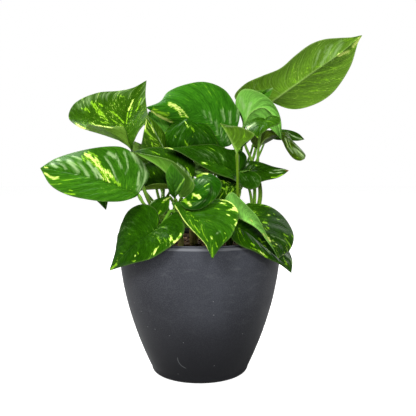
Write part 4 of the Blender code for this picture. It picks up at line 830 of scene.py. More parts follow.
def near_marks(points, marks):
    """1 on a leaf's marks, falling to 0 one width away from them."""
    seen = laid_out(points)
    nearest = np.zeros(seen.shape[:-1])
    for width, line in marks:
        for start, end in zip(np.array(line[:-1], dtype=float), np.array(line[1:], dtype=float)):
            step = end - start
            part = np.clip((seen - start) @ step / (step @ step), 0, 1)
            distance = np.linalg.norm(seen - start - part[..., None] * step, axis=-1)
            nearest = np.maximum(nearest, 1 - distance / width)
    return nearest


def leaf_green(fresh, yellow):
    """A leaf's green, from deep to pale. Yellow raises its red."""
    level = DEEPEST_GREEN * (PALEST_GREEN / DEEPEST_GREEN) ** fresh
    return (level * (0.17 + 0.10 * fresh + yellow), level, level * (0.012 + 0.11 * fresh ** 3), 1.0)


def leaf(name, shape, seed, skins):
    """One leaf: a thin sheet, puckered between its side veins, grooved above its midrib."""
    along = np.linspace(0, 1, LEAF_ROWS + 1)
    spread = np.append(np.linspace(0, 1, LEAF_COLUMNS) ** LEAF_COLUMN_CROWDING * LEAF_RIM, 1.0)
    grid = leaf_grid(shape, along, spread)
    facings, agrees = grid_facings(grid, np.array(shape["top"]))
    across = np.concatenate((-spread[:0:-1], spread))[None, :]
    middle = grid[:, LEAF_COLUMNS:LEAF_COLUMNS + 1]
    from_rib = np.linalg.norm(grid - middle, axis=2)
    margins = np.where(across[..., None] < 0, grid[:, :1], grid[:, -1:])
    from_margin = np.linalg.norm(grid - margins, axis=2)
    length = steps_of(middle[:, 0]).sum()
    swept = along[:, None] - VEIN_SWEEP * across ** 2
    phase = VEINS_A_SIDE * swept + 0.5 * (across < 0)
    vein_gap = np.linalg.norm(np.gradient(grid, axis=0), axis=2) * LEAF_ROWS / VEINS_A_SIDE
    pillow = np.sin(math.pi * (phase - np.floor(phase))) - PUCKER_MIDDLE
    fade = eased(np.abs(across) / FLAT_AT_RIB) * eased((1 - np.abs(across)) / FLAT_AT_MARGIN)
    pucker = PUCKER * shape["pucker"] * pillow * (fade * eased(vein_gap / PUCKER_VEIN_GAP))
    taper = (1 - along[:, None] ** VEIN_FAN) ** MIDRIB_TAPER
    groove = MIDRIB_GROOVE * taper * ridge(from_rib, MIDRIB_GROOVE_WIDTH)
    rib = MIDRIB_HEIGHT * taper * ridge(from_rib, MIDRIB_WIDTH)
    half = LEAF_THICKNESS / 2
    points, faces, sides = two_skins(grid, facings, agrees, half + pucker - groove, half - pucker + rib)
    grain = np.stack((swept * length * GRAIN_STRETCH / MM, from_rib * np.sign(across) / MM,
                      np.full_like(from_rib, seed * GRAIN_APART)), axis=-1)
    dry = eased((along[:, None] - DRY_TIP_START) / (1 - DRY_TIP_START))
    notes = {
        "grain": grain,
        "vein_phase": phase,
        "near_rib": ridge(from_rib, RIB_MARK_WIDTH) * (0.35 + 0.65 * taper),
        "near_edge": ridge(from_margin, EDGE_MARK_WIDTH),
        "dry_tip": shape["dry"] * dry + 0 * across,
        "cream": near_marks(grid, shape["cream"]),
        "lime": near_marks(grid, shape["lime"]),
        # Where the painted sheen goes, and how strongly
        "shine": near_marks(grid, shape["shine"]) * shape["painted_sheen_strength"],
        "flecks": np.full_like(from_rib, shape["flecks"]),
        "streaks": np.full_like(from_rib, shape["streaks"]),
    }
    notes = {label: np.concatenate([one_row_each(values)] * 2) for label, values in notes.items()}
    upper = leaf_green(shape["fresh"], shape["yellow"])
    lower = leaf_green(*shape["under"])
    count = len(points) // 2
    notes["green"] = np.array([upper] * count + [lower] * count)
    made = made_piece(name + "_blade", points, faces, sides, skins, notes)
    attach(made, "root")
    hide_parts(name)
    return made


def rod_frames(route):
    """Two directions square to the route at each of its points, turning as little as they can."""
    ways = np.gradient(route, axis=0)
    ways /= np.linalg.norm(ways, axis=1, keepdims=True)
    side = unit(np.cross(ways[0], (0.31, 0.94, 0.12)))
    sides = []
    for way in ways:
        side = unit(side - way * np.dot(side, way))
        sides.append(side)
    sides = np.array(sides)
    return sides, np.cross(ways, sides)


def rod(route, radii, seed, sides=STALK_SIDES, groove=0.0):
    """Points, faces and notes of a round rod along a route, closed at both ends."""
    out, over = rod_frames(route)
    angles = np.linspace(0, 2 * math.pi, sides, endpoint=False)
    turn = np.arctan2(over[:, 2], out[:, 2])[:, None]
    hollow = 1 - groove * ridge((angles[None, :] - turn + math.pi) % (2 * math.pi) - math.pi,
                                STALK_GROOVE_TURN)
    reach = (radii[:, None] * hollow)[..., None]
    rings = route[:, None] + reach * (out[:, None] * np.cos(angles)[None, :, None]
                                      + over[:, None] * np.sin(angles)[None, :, None])
    steps = len(route)
    numbers = np.arange(steps * sides).reshape(steps, sides)
    ahead = np.roll(numbers, -1, axis=1)
    quads = np.stack((numbers[:-1], ahead[:-1], ahead[1:], numbers[1:]), axis=-1).reshape(-1, 4)
    first, last = steps * sides, steps * sides + 1
    faces = [tuple(map(int, quad)) for quad in quads]
    faces += [(first, int(ahead[0, k]), int(numbers[0, k])) for k in range(sides)]
    faces += [(last, int(numbers[-1, k]), int(ahead[-1, k])) for k in range(sides)]
    points = np.concatenate((rings.reshape(-1, 3), route[:1], route[-1:]))
    lengths = np.concatenate(([0.0], np.cumsum(steps_of(route))))[:, None] / MM
    grain = np.stack((np.cos(angles) * ROD_GRAIN_REACH + 0 * lengths, lengths + 0 * angles,
                      np.sin(angles) * ROD_GRAIN_REACH + seed * GRAIN_APART + 0 * lengths), axis=-1)
    grain = np.concatenate((grain.reshape(-1, 3), grain[0, :1], grain[-1, :1]))
    return points, faces, grain


def stalk_route(shape):
    """From the stem's middle to the leaf's joint."""
    start = smooth_route(placed(STEMS[shape["stem"]]), [shape["starts"]])
    middle = placed(shape["stalk"])
    joint = placed(shape["rib"][0])
    arrival = unit(joint - middle[-1])
    points = np.vstack((start, middle, joint - arrival * STALK_LEAF_GAP))
    return smooth_route(points, np.linspace(0, 1, STALK_STEPS))


def stalk(shape, seed):
    """A stalk: wide where it clasps the stem, a swollen joint just under the leaf."""
    route = stalk_route(shape)
    part = np.linspace(0, 1, STALK_STEPS)
    length = steps_of(route).sum()
    run = part * length
    radii = (STALK_RADIUS + (STALK_END_RADIUS - STALK_RADIUS) * part) * shape["stout"]
    radii += STALK_CLASP_SWELL * STALK_RADIUS * np.exp(-run / STALK_CLASP_LENGTH)
    radii += shape["flare"] * MM * eased(1 - (length - run) / STALK_FLARE_LENGTH)
    radii += STALK_JOINT_SWELL * shape["joint"] * ridge(length - run - STALK_JOINT_BACK, STALK_JOINT_LENGTH)
    radii[-1] *= STALK_END_TAPER
    return rod(route, radii, seed, groove=STALK_GROOVE)


def stem_rod(name, seed):
    """A stem with a knuckle where each stalk leaves it and a rounded tip."""
    part = np.linspace(0, 1, STEM_STEPS)
    route = smooth_route(placed(STEMS[name]), part)
    length = steps_of(route).sum()
    radii = STEM_RADIUS + (STEM_TOP_RADIUS - STEM_RADIUS) * part
    for starts in {shape["starts"] for shape in LEAVES.values() if shape["stem"] == name}:
        radii += STEM_KNUCKLE * ridge((part - starts) * length, STEM_KNUCKLE_LENGTH)
    radii *= np.sqrt(np.clip((1.02 - part) / 0.05, 0.1, 1))
    return rod(route, radii, seed)


def sheath(name, starts, turn, length, seed):
    """A dry pointed scale that wraps part of the way round a stem."""
    stem = placed(STEMS[name])
    total = steps_of(smooth_route(stem, np.linspace(0, 1, STEM_STEPS))).sum()
    part = np.linspace(0, 1, SHEATH_STEPS)
    foot = starts - 0.25 * length / total
    middle = smooth_route(stem, np.clip(foot + part * length / total, 0, 1))
    out, over = rod_frames(middle + np.outer(part, (0, 0, 1 * MM)))
    width = SHEATH_WRAP * (1 - eased((part - 0.25) / 0.75)) + 0.05
    curl = np.linspace(-1, 1, SHEATH_COLUMNS)
    angles = turn + width[:, None] * curl[None, :]
    spring = STEM_RADIUS + SHEATH_STANDS_OFF + SHEATH_SPREAD * part[:, None] ** 2.2 + 0 * angles
    spring += SHEATH_RIPPLE * np.sin(9 * angles + 5 * part[:, None])
    grid = middle[:, None] + spring[..., None] * (out[:, None] * np.cos(angles)[..., None]
                                                 + over[:, None] * np.sin(angles)[..., None])
    centre = len(curl) // 2
    facings, agrees = grid_facings(grid, unit((grid - middle[:, None])[:, centre].sum(axis=0)))
    skin = np.full(grid.shape[:2], SHEATH_THICKNESS / 2)
    points, faces, sides = two_skins(grid, facings, agrees, skin, skin)
    grain = np.stack((angles * 3, part[:, None] * length / MM + 0 * angles,
                      np.full_like(angles, seed * 11.0)), axis=-1)
    return points, faces, np.concatenate([one_row_each(grain)] * 2)


def gathered(parts):
    """One mesh's points, faces and skins from several parts, each as (points, faces, skin)."""
    faces, skins, count = [], [], 0
    for points, rings, sort in parts:
        faces += [tuple(number + count for number in face) for face in rings]
        skins += [sort] * len(rings)
        count += len(points)
    return np.concatenate([part[0] for part in parts]), faces, skins


def stem(name, seed, skins):
    """A stem with its stalks and its dry sheaths, as one piece."""
    stem_green = leaf_green(*STEM_GREEN)
    shapes = [(*stem_rod(name, seed), 0, stem_green)]
    for index, shape in enumerate(LEAVES.values()):
        if shape["stem"] == name:
            shapes.append((*stalk(shape, seed + 3 * index), 0, leaf_green(*shape["stalk_green"])))
    for index, measures in enumerate(SHEATHS[name]):
        shapes.append((*sheath(name, *measures, seed + index), 1, stem_green))
    points, faces, kinds = gathered([(some, rings, kind) for some, rings, grain, kind, green in shapes])
    notes = {"grain": np.concatenate([shape[2] for shape in shapes]),
             "green": np.concatenate([np.tile(shape[4], (len(shape[0]), 1)) for shape in shapes])}
    made = made_piece(name + "_stalks", points, faces, kinds, skins, notes)
    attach(made, "root")
    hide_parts(name)
    return made


def wall_radius(height):
    """Outer radius of the pot's wall at a height."""
    return POT_RIM_RADIUS - POT_TAPER * max(0.0, 1 - height / POT_TAPER_HEIGHT) ** POT_TAPER_POWER


def inner_radius(height):
    """Inner radius of the pot's wall at a height."""
    return wall_radius(height) - POT_WALL


def turned(name, profile, segments, materials, notes=None):
    """A closed solid turned from a closed profile of (radius, height) points."""
    profile = np.array(profile)
    angles = np.linspace(0, 2 * math.pi, segments, endpoint=False)
    rings = np.stack((profile[:, :1] * np.cos(angles), profile[:, :1] * np.sin(angles),
                      profile[:, 1:] + 0 * angles), axis=-1)
    numbers = np.arange(len(profile) * segments).reshape(len(profile), segments)
    below, ahead = np.roll(numbers, -1, axis=0), np.roll(numbers, -1, axis=1)
    quads = np.stack((numbers, below, np.roll(below, -1, axis=1), ahead), axis=-1).reshape(-1, 4)
    faces = [tuple(map(int, quad)) for quad in quads]
    return made_piece(name, rings.reshape(-1, 3), faces, [0] * len(faces), materials, notes or {})


def joined_up(made):
    """Merges the points that meet on the axis and turns every face outwards."""
    shape = bmesh.new()
    shape.from_mesh(made.data)
    bmesh.ops.remove_doubles(shape, verts=shape.verts, dist=0.01 * MM)
    bmesh.ops.recalc_face_normals(shape, faces=shape.faces)
    shape.to_mesh(made.data)
    shape.free()
    made.data.shade_smooth()


def quarter_turns():
    return [math.pi / 2 * step / ROUND_STEPS for step in range(1, ROUND_STEPS + 1)]


def eased_corner(radius, height, before, after):
    """A corner of the rim, taken off a little: before and after point along its two edges."""
    corner = np.array((radius, height))
    into, out = corner + np.array(before) * RIM_EASE, corner + np.array(after) * RIM_EASE
    parts = np.linspace(0, 1, RIM_EASE_STEPS)[:, None]
    return list((1 - parts) ** 2 * into + 2 * parts * (1 - parts) * corner + parts ** 2 * out)


def pot_profile():
    """The pot's section: rim, wall, foot, underside, floor and inner wall."""
    inside = POT_RIM_RADIUS - POT_WALL
    ring = inside + RIM_RING
    shape = eased_corner(inside, POT_HEIGHT, (0, -1), (1, 0))
    shape += eased_corner(ring, POT_HEIGHT, (-1, 0), (0, -1))
    shape += [(ring, RIM_SHOULDER + 0.2 * MM), (ring + 0.15 * MM, RIM_SHOULDER)]
    shape += [(POT_RIM_RADIUS - RIM_ROUND * (1 - math.sin(turn)),
               RIM_SHOULDER - RIM_ROUND * (1 - math.cos(turn))) for turn in quarter_turns()]
    heights = np.linspace(RIM_SHOULDER - RIM_ROUND, POT_FOOT_ROUND, WALL_RINGS)
    shape += [(wall_radius(height), height) for height in heights[1:]]
    width = wall_radius(POT_FOOT_ROUND) - POT_FOOT_RADIUS
    shape += [(POT_FOOT_RADIUS + width * math.cos(turn), POT_FOOT_ROUND * (1 - math.sin(turn)))
              for turn in quarter_turns()]
    shape += [(POT_FOOT_RADIUS * part, 0.0) for part in (0.9, 0.7, 0.5, 0.3, 0.0)]
    inner_foot = POT_FLOOR + POT_FOOT_ROUND
    floor = inner_radius(inner_foot) - POT_FOOT_ROUND
    shape += [(floor * part, POT_FLOOR) for part in (0.0, 0.4, 0.7, 1.0)]
    shape += [(floor + POT_FOOT_ROUND * math.sin(turn), inner_foot - POT_FOOT_ROUND * math.cos(turn))
              for turn in quarter_turns()]
    shape += [(inner_radius(height), height) for height in heights[::-1] if height > inner_foot]
    return shape


def pot(skin):
    """The pot, turned from its section, with drain holes through its floor."""
    made = turned("pot_shell", pot_profile(), POT_SEGMENTS, [skin])
    joined_up(made)
    cutters = []
    for index in range(DRAIN_HOLE_COUNT):
        angle = 2 * math.pi * (index + 0.5) / DRAIN_HOLE_COUNT
        place = (DRAIN_HOLE_RING * math.cos(angle), DRAIN_HOLE_RING * math.sin(angle), POT_FLOOR / 2)
        bpy.ops.mesh.primitive_cylinder_add(vertices=DRAIN_HOLE_SIDES, radius=DRAIN_HOLE_RADIUS,
                                            depth=3 * POT_FLOOR, location=place)
        cutter = bpy.context.object
        cut = made.modifiers.new(f"drain_hole_{index}", "BOOLEAN")
        cut.operation = "DIFFERENCE"
        cut.object = cutter
        cut.solver = "EXACT"
        cutters.append(cutter)
    bpy.context.view_layer.update()
    seen = made.evaluated_get(bpy.context.evaluated_depsgraph_get())
    mesh = bpy.data.meshes.new_from_object(seen)
    made.modifiers.clear()
    made.data = mesh
    for cutter in cutters:
        bpy.data.objects.remove(cutter, do_unlink=True)
    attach(made, "root")
    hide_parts("pot")
    return made


def soil_height(x, y):
    """Height of the soil's lumpy top, smoothed towards the pot's wall."""
    radius = math.hypot(x, y)
    place = Vector((x, y, 0))
    rise = SOIL_CROWN * (1 - (radius / POT_RIM_RADIUS) ** 2)
    lumps = sum(part * noise.noise(place * scale) for part, scale in SOIL_LUMPS)
    hold = float(eased((inner_radius(SOIL_TOP) - radius) / SOIL_EDGE))
    return SOIL_TOP + rise + SOIL_LUMP_HEIGHT * lumps * (0.35 + 0.65 * hold) - SOIL_SUNK


def crumb(rng, size, flat):
    """An irregular lump: points and faces."""
    shape = bmesh.new()
    bmesh.ops.create_icosphere(shape, subdivisions=1 if size < FINE_CRUMB else 2, radius=1.0)
    swell = 1 + CRUMB_UNEVENNESS * rng.standard_normal(len(shape.verts))
    points = np.array([corner.co for corner in shape.verts]) * swell[:, None]
    faces = [tuple(corner.index for corner in face.verts) for face in shape.faces]
    shape.free()
    points *= size * np.array((1.0, rng.uniform(*CRUMB_WIDTHS), flat))
    turn, lean = rng.uniform(0, 2 * math.pi), rng.uniform(-CRUMB_LEAN, CRUMB_LEAN)
    cos, sin = math.cos(turn), math.sin(turn)
    spin = np.array(((cos, -sin, 0), (sin, cos, 0), (0, 0, 1)))
    tip = np.array(((1, 0, 0), (0, math.cos(lean), -math.sin(lean)), (0, math.sin(lean), math.cos(lean))))
    return points @ tip.T @ spin.T, faces


def soil(skins):
    """Lumpy soil filling the pot, with crumbs and bits of bark lying in it."""
    edge = inner_radius(SOIL_TOP) - SOIL_GAP
    radii = edge * np.linspace(0, 1, SOIL_RINGS) ** SOIL_RING_CROWDING
    profile = [(radius, 0.0) for radius in radii]
    inner_foot = POT_FLOOR + POT_FOOT_ROUND
    heights = np.linspace(SOIL_TOP - SOIL_EDGE, inner_foot, SOIL_WALL_RINGS)
    profile += [(inner_radius(height) - SOIL_GAP, height) for height in heights]
    floor = inner_radius(inner_foot) - POT_FOOT_ROUND - SOIL_GAP
    profile += [(floor, POT_FLOOR + SOIL_GAP), (0.0, POT_FLOOR + SOIL_GAP)]
    body = turned("soil_bed", profile, SOIL_SEGMENTS, skins)
    for corner in body.data.vertices[:SOIL_RINGS * SOIL_SEGMENTS]:
        corner.co.z = soil_height(corner.co.x, corner.co.y)
    parts = [(np.array([corner.co for corner in body.data.vertices]),
              [tuple(face.vertices) for face in body.data.polygons], 0)]
    bpy.data.objects.remove(body, do_unlink=True)
    rng = np.random.default_rng(SOIL_SEED)
    for index in range(SOIL_CRUMBS + SOIL_CHIPS):
        chip = index >= SOIL_CRUMBS
        size = rng.uniform(*(CHIP_SIZES if chip else CRUMB_SIZES)) * MM
        radius = (edge - size - 0.5 * MM) * math.sqrt(rng.uniform(0, 1))
        angle = rng.uniform(0, 2 * math.pi)
        x, y = radius * math.cos(angle), radius * math.sin(angle)
        some, rings = crumb(rng, size, CHIP_FLATNESS if chip else CRUMB_FLATNESS)
        some += (x, y, soil_height(x, y) + (CHIP_STANDS if chip else CRUMB_STANDS) * size)
        parts.append((some, rings, 1 if chip else 0))
    made = made_piece("soil_bed", *gathered(parts), skins, {})
    joined_up(made)
    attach(made, "root")
    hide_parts("soil")
    return made


class Recipe:
    """The nodes of one effect or skin. Every input is a plain value or another node's output."""

    def __init__(self, tree):
        self.tree = tree

    def give(self, socket, value):
        if isinstance(value, bpy.types.NodeSocket):
            self.tree.links.new(value, socket)
        else:
            socket.default_value = value

    def add(self, kind, inputs, **settings):
        made = self.tree.nodes.new(kind)
        for label, value in settings.items():
            setattr(made, label, value)
        for label, value in inputs.items():
            self.give(made.inputs[label], value)
        return made.outputs

    def maths(self, operation, result, *others):
        """Works each further value into the first one."""
        for value in others:
            result = self.add("ShaderNodeMath", {0: result, 1: value}, operation=operation)[0]
        return result

    def times(self, *values):
        return self.maths("MULTIPLY", *values)

    def plus(self, *values):
        return self.maths("ADD", *values)

    def most(self, *values):
        return self.maths("MAXIMUM", *values)

    def eased(self, value, low, high, bottom=0.0, top=1.0):
        """A value between low and high, eased to between bottom and top."""
        inputs = {"Value": value, "From Min": low, "From Max": high, "To Min": bottom, "To Max": top}
        return self.add("ShaderNodeMapRange", inputs, interpolation_type="SMOOTHSTEP")[0]

    def blend(self, mask, under, over):
        return self.add("ShaderNodeMix", {0: mask, 6: under, 7: over}, data_type="RGBA")[2]

    def layers(self, base, *layers):
        """Colours laid over one another, each as (mask, how much of it, colour)."""
        for mask, amount, colour in layers:
            base = self.blend(mask if amount == 1 else self.times(mask, amount), base, colour)
        return base

    def tone(self, colour, value, hue=0.5):
        return self.add("ShaderNodeHueSaturation", {"Hue": hue, "Value": value, "Color": colour})[0]

    def cloud(self, place, stretch, scale, detail, roughness=0.55):
        """Soft noise, from 0 to 1, stretched wherever stretch is below 1."""
        if stretch:
            place = self.add("ShaderNodeVectorMath", {0: place, 1: stretch}, operation="MULTIPLY")[0]
        inputs = {"Vector": place, "Scale": scale, "Detail": detail, "Roughness": roughness}
        return self.add("ShaderNodeTexNoise", inputs)["Fac"]

    def distance(self, place, middle):
        return self.add("ShaderNodeVectorMath", {0: place, 1: middle}, operation="DISTANCE")["Value"]

    def note(self, label, output="Fac"):
        """What the mesh says at its points under this label."""
        return self.add("ShaderNodeAttribute", {}, attribute_name=label)[output]

    def notes(self, *labels):
        """Several notes, each under its label with a capital."""
        return {label.capitalize(): self.note(label) for label in labels}

    def use(self, effect, inputs):
        return self.add("ShaderNodeGroup", inputs, node_tree=effect)


def effect(name, inputs, outputs):
    """An empty effect. Inputs have their usual value, or None where they take a place."""
    tree = bpy.data.node_groups.new(name, "ShaderNodeTree")
    for label, value in inputs.items():
        kind = "NodeSocketVector" if value is None else "NodeSocketFloat"
        socket = tree.interface.new_socket(label, in_out="INPUT", socket_type=kind)
        if value is not None:
            socket.default_value = value
    for label in outputs:
        tree.interface.new_socket(label, in_out="OUTPUT", socket_type="NodeSocketFloat")
    given = tree.nodes.new("NodeGroupInput").outputs
    return tree, Recipe(tree), given, tree.nodes.new("NodeGroupOutput").inputs


# What tears a leaf's markings: the stretch along its veins, the scale, detail and roughness of the
# noise, and where it starts to show and shows fully
TORN_BY = {
    "streaks": (0.22, 0.42, 3.0, 0.6, 0.28, 0.72),
    "specks": (0.42, 0.95, 2.0, 0.5, 0.28, 0.72),
    "patches": (0.55, 0.075, 2.0, 0.5, 0.3, 0.7),
    "fibres": (0.16, 1.9, 2.0, 0.6, 0.35, 0.65),
}


def make_marking_effect():
    """Cream, lime and dark markings and a painted sheen, that run out along a leaf's side veins."""
    tree, nodes, given, result = effect(
        "leaf_marking",
        {"Grain": None, "Cream": 0.0, "Lime": 0.0, "Shine": 0.0, "Flecks": 0.3, "Streaks": 0.3},
        ("Cream", "Lime", "Shine", "Mottle"))
    streaks, specks, patches, fibres = (
        nodes.eased(nodes.cloud(given["Grain"], (1.0, stretch, 1.0), scale, detail, roughness), low, high)
        for stretch, scale, detail, roughness, low, high in TORN_BY.values())
    torn = nodes.plus(nodes.times(streaks, 0.75), nodes.times(specks, 0.55))
    ragged = nodes.plus(nodes.times(streaks, 0.45), nodes.times(specks, 0.75))
    drawn_cream = nodes.plus(nodes.times(given["Cream"], 1.42), ragged)
    drawn_lime = nodes.plus(nodes.times(given["Lime"], 1.30), ragged)
    drawn_shine = nodes.plus(nodes.times(given["Shine"], 1.20), nodes.times(torn, 0.60))
    streak_room = nodes.plus(nodes.times(given["Streaks"], 0.42), nodes.times(patches, 0.30))
    fleck_room = nodes.plus(nodes.times(given["Flecks"], 0.30), nodes.times(patches, 0.18))
    cream = nodes.eased(drawn_cream, 1.42, 1.66)
    halo = nodes.most(nodes.eased(drawn_cream, 1.12, 1.40), nodes.eased(drawn_lime, 1.30, 1.62))
    lime = nodes.eased(nodes.plus(streaks, streak_room), 1.14, 1.34)
    dashes = nodes.eased(nodes.plus(specks, fleck_room), 1.17, 1.27)
    tone = nodes.plus(nodes.times(streaks, 0.32), nodes.times(patches, 0.26), nodes.times(fibres, 0.42))
    nodes.give(result["Cream"], nodes.most(cream, nodes.times(dashes, 0.35)))
    nodes.give(result["Lime"], nodes.most(halo, lime, dashes))
    nodes.give(result["Shine"], nodes.eased(drawn_shine, 0.55, 1.60))
    nodes.give(result["Mottle"], nodes.eased(tone, 0.24, 0.76))
    return tree


def make_vein_effect():
    """The lines of a leaf's side veins and the finer veins between them."""
    tree, nodes, given, result = effect(
        "leaf_veins", {"Phase": 0.0, "Grain": None}, ("Side veins", "Fine veins", "Pillows"))
    wander = nodes.cloud(given["Grain"], None, 0.12, 1.0)
    phase = nodes.plus(given["Phase"], nodes.times(wander, 0.25))
    from_vein = nodes.maths("PINGPONG", phase, 0.5)
    from_fine_vein = nodes.maths("PINGPONG", nodes.times(phase, 5.0), 0.5)
    nodes.give(result["Side veins"], nodes.eased(from_vein, 0.07, 0.0))
    nodes.give(result["Pillows"], nodes.eased(from_vein, 0.04, 0.32))
    nodes.give(result["Fine veins"], nodes.eased(from_fine_vein, 0.22, 0.0))
    return tree


def make_grain_effect():
    """A fine pebbled surface and a slow change of tone, for any of the plant's or pot's skins."""
    tree, nodes, given, result = effect(
        "skin_grain", {"Place": None, "Pebble scale": 900.0, "Cloud scale": 40.0}, ("Pebbles", "Clouds"))
    pebbles = nodes.cloud(given["Place"], None, given["Pebble scale"], 2.0, 0.5)
    clouds = nodes.cloud(given["Place"], None, given["Cloud scale"], 4.0, 0.5)
    nodes.give(result["Pebbles"], pebbles)
    nodes.give(result["Clouds"], nodes.eased(clouds, 0.32, 0.68))
    return tree


def skin(name, **constants):
    """A new material, its recipe and its shader's inputs, with the plain values set on them."""
    made = bpy.data.materials.new(name)
    made.use_nodes = True
    shader = made.node_tree.nodes["Principled BSDF"].inputs
    for label, value in constants.items():
        shader[label.replace("_", " ")].default_value = value
    return made, Recipe(made.node_tree), shader


def pored(nodes, pebbling, pebble_scale, cloud_scale):
    """The place on a piece, and the skin grain there."""
    place = nodes.add("ShaderNodeTexCoord", {})["Object"]
    return place, nodes.use(pebbling, {"Place": place, "Pebble scale": pebble_scale,
                                          "Cloud scale": cloud_scale})


def finish_skin(nodes, shader, colour, roughness, relief, strength, depth):
    """Gives a shader its colour, its roughness and a relief of this strength and depth."""
    nodes.give(shader["Base Color"], colour)
    nodes.give(shader["Roughness"], roughness)
    bump = nodes.add("ShaderNodeBump", {"Height": relief, "Strength": strength, "Distance": depth})
    nodes.give(shader["Normal"], bump["Normal"])


CREAM = (0.58, 0.68, 0.17, 1.0)
LIME = (0.20, 0.44, 0.012, 1.0)
# The pale grey-green of the painted sheen on the leaves
PAINTED_SHEEN = (0.32, 0.47, 0.20, 1.0)
PALE_EDGE = (0.50, 0.62, 0.22, 1.0)
PALE_VEIN = (0.34, 0.50, 0.14, 1.0)
DRY_TIP = (0.16, 0.085, 0.03, 1.0)


def leaf_start(nodes, marking, veins, deep_value, deep_hue, sheen_between_veins):
    """What both of a leaf's skins begin with: its marks, its lines, three tones of it, and its painted
    sheen, strongest between the veins.
    """
    grain = nodes.note("grain", "Vector")
    green = nodes.note("green", "Color")
    notes = nodes.notes("cream", "lime", "shine", "flecks", "streaks")
    marks = nodes.use(marking, {"Grain": grain, **notes})
    lines = nodes.use(veins, {"Grain": grain, "Phase": nodes.note("vein_phase")})
    deep = nodes.tone(green, deep_value, deep_hue)
    base = nodes.blend(marks["Mottle"], deep, green)
    painted_sheen = nodes.times(marks["Shine"], nodes.eased(lines["Pillows"], 0.0, 1.0, sheen_between_veins, 1.0))
    return marks, lines, deep, base, painted_sheen


def leaf_upper_skin(marking, veins, pebbling):
    """Deep glossy green with a painted sheen, pale and glossier, where it is marked to shine, and sunken
    veins and midrib darkened as painted shade.
    """
    made, nodes, shader = skin("leaf_upper", Specular_IOR_Level=0.05, Coat_Roughness=0.22)
    pores = pored(nodes, pebbling, 1600.0, 60.0)[1]
    marks, lines, deep, base, painted_sheen = leaf_start(nodes, marking, veins, 0.50, 0.505, 0.22)
    # The side veins and the midrib are darkened with the deep green as painted shade in their grooves.
    base = nodes.layers(
        base, (lines["Side veins"], 0.4, deep), (marks["Lime"], 0.85, LIME), (marks["Cream"], 1, CREAM),
        (painted_sheen, 0.7, PAINTED_SHEEN), (nodes.note("near_rib"), 0.45, deep),
        (nodes.note("near_edge"), 0.07, PALE_EDGE), (nodes.note("dry_tip"), 1, DRY_TIP))
    nodes.give(shader["Coat Weight"], nodes.plus(nodes.times(painted_sheen, 0.30), 0.02))
    relief = nodes.plus(nodes.times(lines["Side veins"], -0.8), nodes.times(lines["Fine veins"], -0.30),
                        nodes.times(pores["Pebbles"], 0.35))
    roughness = nodes.eased(pores["Clouds"], 0.0, 1.0, 0.24, 0.32)
    finish_skin(nodes, shader, base, roughness, relief, 0.55, 0.16 * MM)
    return made


def leaf_lower_skin(marking, veins, pebbling):
    """Paler, duller green with pale raised veins, and a painted sheen where it is marked to shine."""
    made, nodes, shader = skin("leaf_lower", Specular_IOR_Level=0.08)
    pores = pored(nodes, pebbling, 1300.0, 50.0)[1]
    marks, lines, deep, base, painted_sheen = leaf_start(nodes, marking, veins, 0.62, 0.5, 0.5)
    base = nodes.layers(
        base, (lines["Fine veins"], 0.07, PALE_VEIN), (lines["Side veins"], 0.10, PALE_VEIN),
        (marks["Lime"], 0.55, LIME), (painted_sheen, 0.45, PAINTED_SHEEN), (marks["Cream"], 0.8, CREAM),
        (nodes.note("near_rib"), 0.40, PALE_VEIN), (nodes.note("near_edge"), 0.2, PALE_EDGE),
        (nodes.note("dry_tip"), 1, DRY_TIP))
    relief = nodes.plus(lines["Side veins"], nodes.times(lines["Fine veins"], 0.3),
                        nodes.times(pores["Pebbles"], 0.4))
    roughness = nodes.eased(pores["Clouds"], 0.0, 1.0, 0.42, 0.55)
    finish_skin(nodes, shader, base, roughness, relief, 0.5, 0.2 * MM)
    return made


STALK_YELLOW = (0.23, 0.30, 0.03, 1.0)
STALK_BROWN = (0.17, 0.15, 0.035, 1.0)
# Heights where the stalks start to turn brown and where they are brownest
BROWN_FROM = 152 * MM
BROWN_BELOW = 134 * MM


def stalk_skin(pebbling):
    """Pale green, streaked lengthwise, browner and duller just above the soil."""
    made, nodes, shader = skin("stalk_green", Specular_IOR_Level=0.2)
    place, pores = pored(nodes, pebbling, 1400.0, 70.0)
    green = nodes.note("green", "Color")
    lengthwise = nodes.cloud(nodes.note("grain", "Vector"), (1.0, 0.05, 1.0), 0.55, 3.0)
    base = nodes.blend(nodes.eased(lengthwise, 0.36, 0.66), nodes.tone(green, 0.55), nodes.tone(green, 1.35))
    height = nodes.add("ShaderNodeSeparateXYZ", {0: place})["Z"]
    low = nodes.eased(nodes.plus(height, nodes.times(lengthwise, 8 * MM)), BROWN_FROM, BROWN_BELOW)
    base = nodes.layers(base, (pores["Clouds"], 0.15, STALK_YELLOW), (low, 0.35, STALK_BROWN))
    relief = nodes.plus(lengthwise, nodes.times(pores["Pebbles"], 0.3))
    finish_skin(nodes, shader, base, nodes.eased(lengthwise, 0.3, 0.7, 0.36, 0.5), relief, 0.4, 0.2 * MM)
    return made


PAPER_DARK = (0.15, 0.10, 0.03, 1.0)
PAPER_PALE = (0.48, 0.38, 0.16, 1.0)
PAPER_GREEN = (0.28, 0.34, 0.07, 1.0)


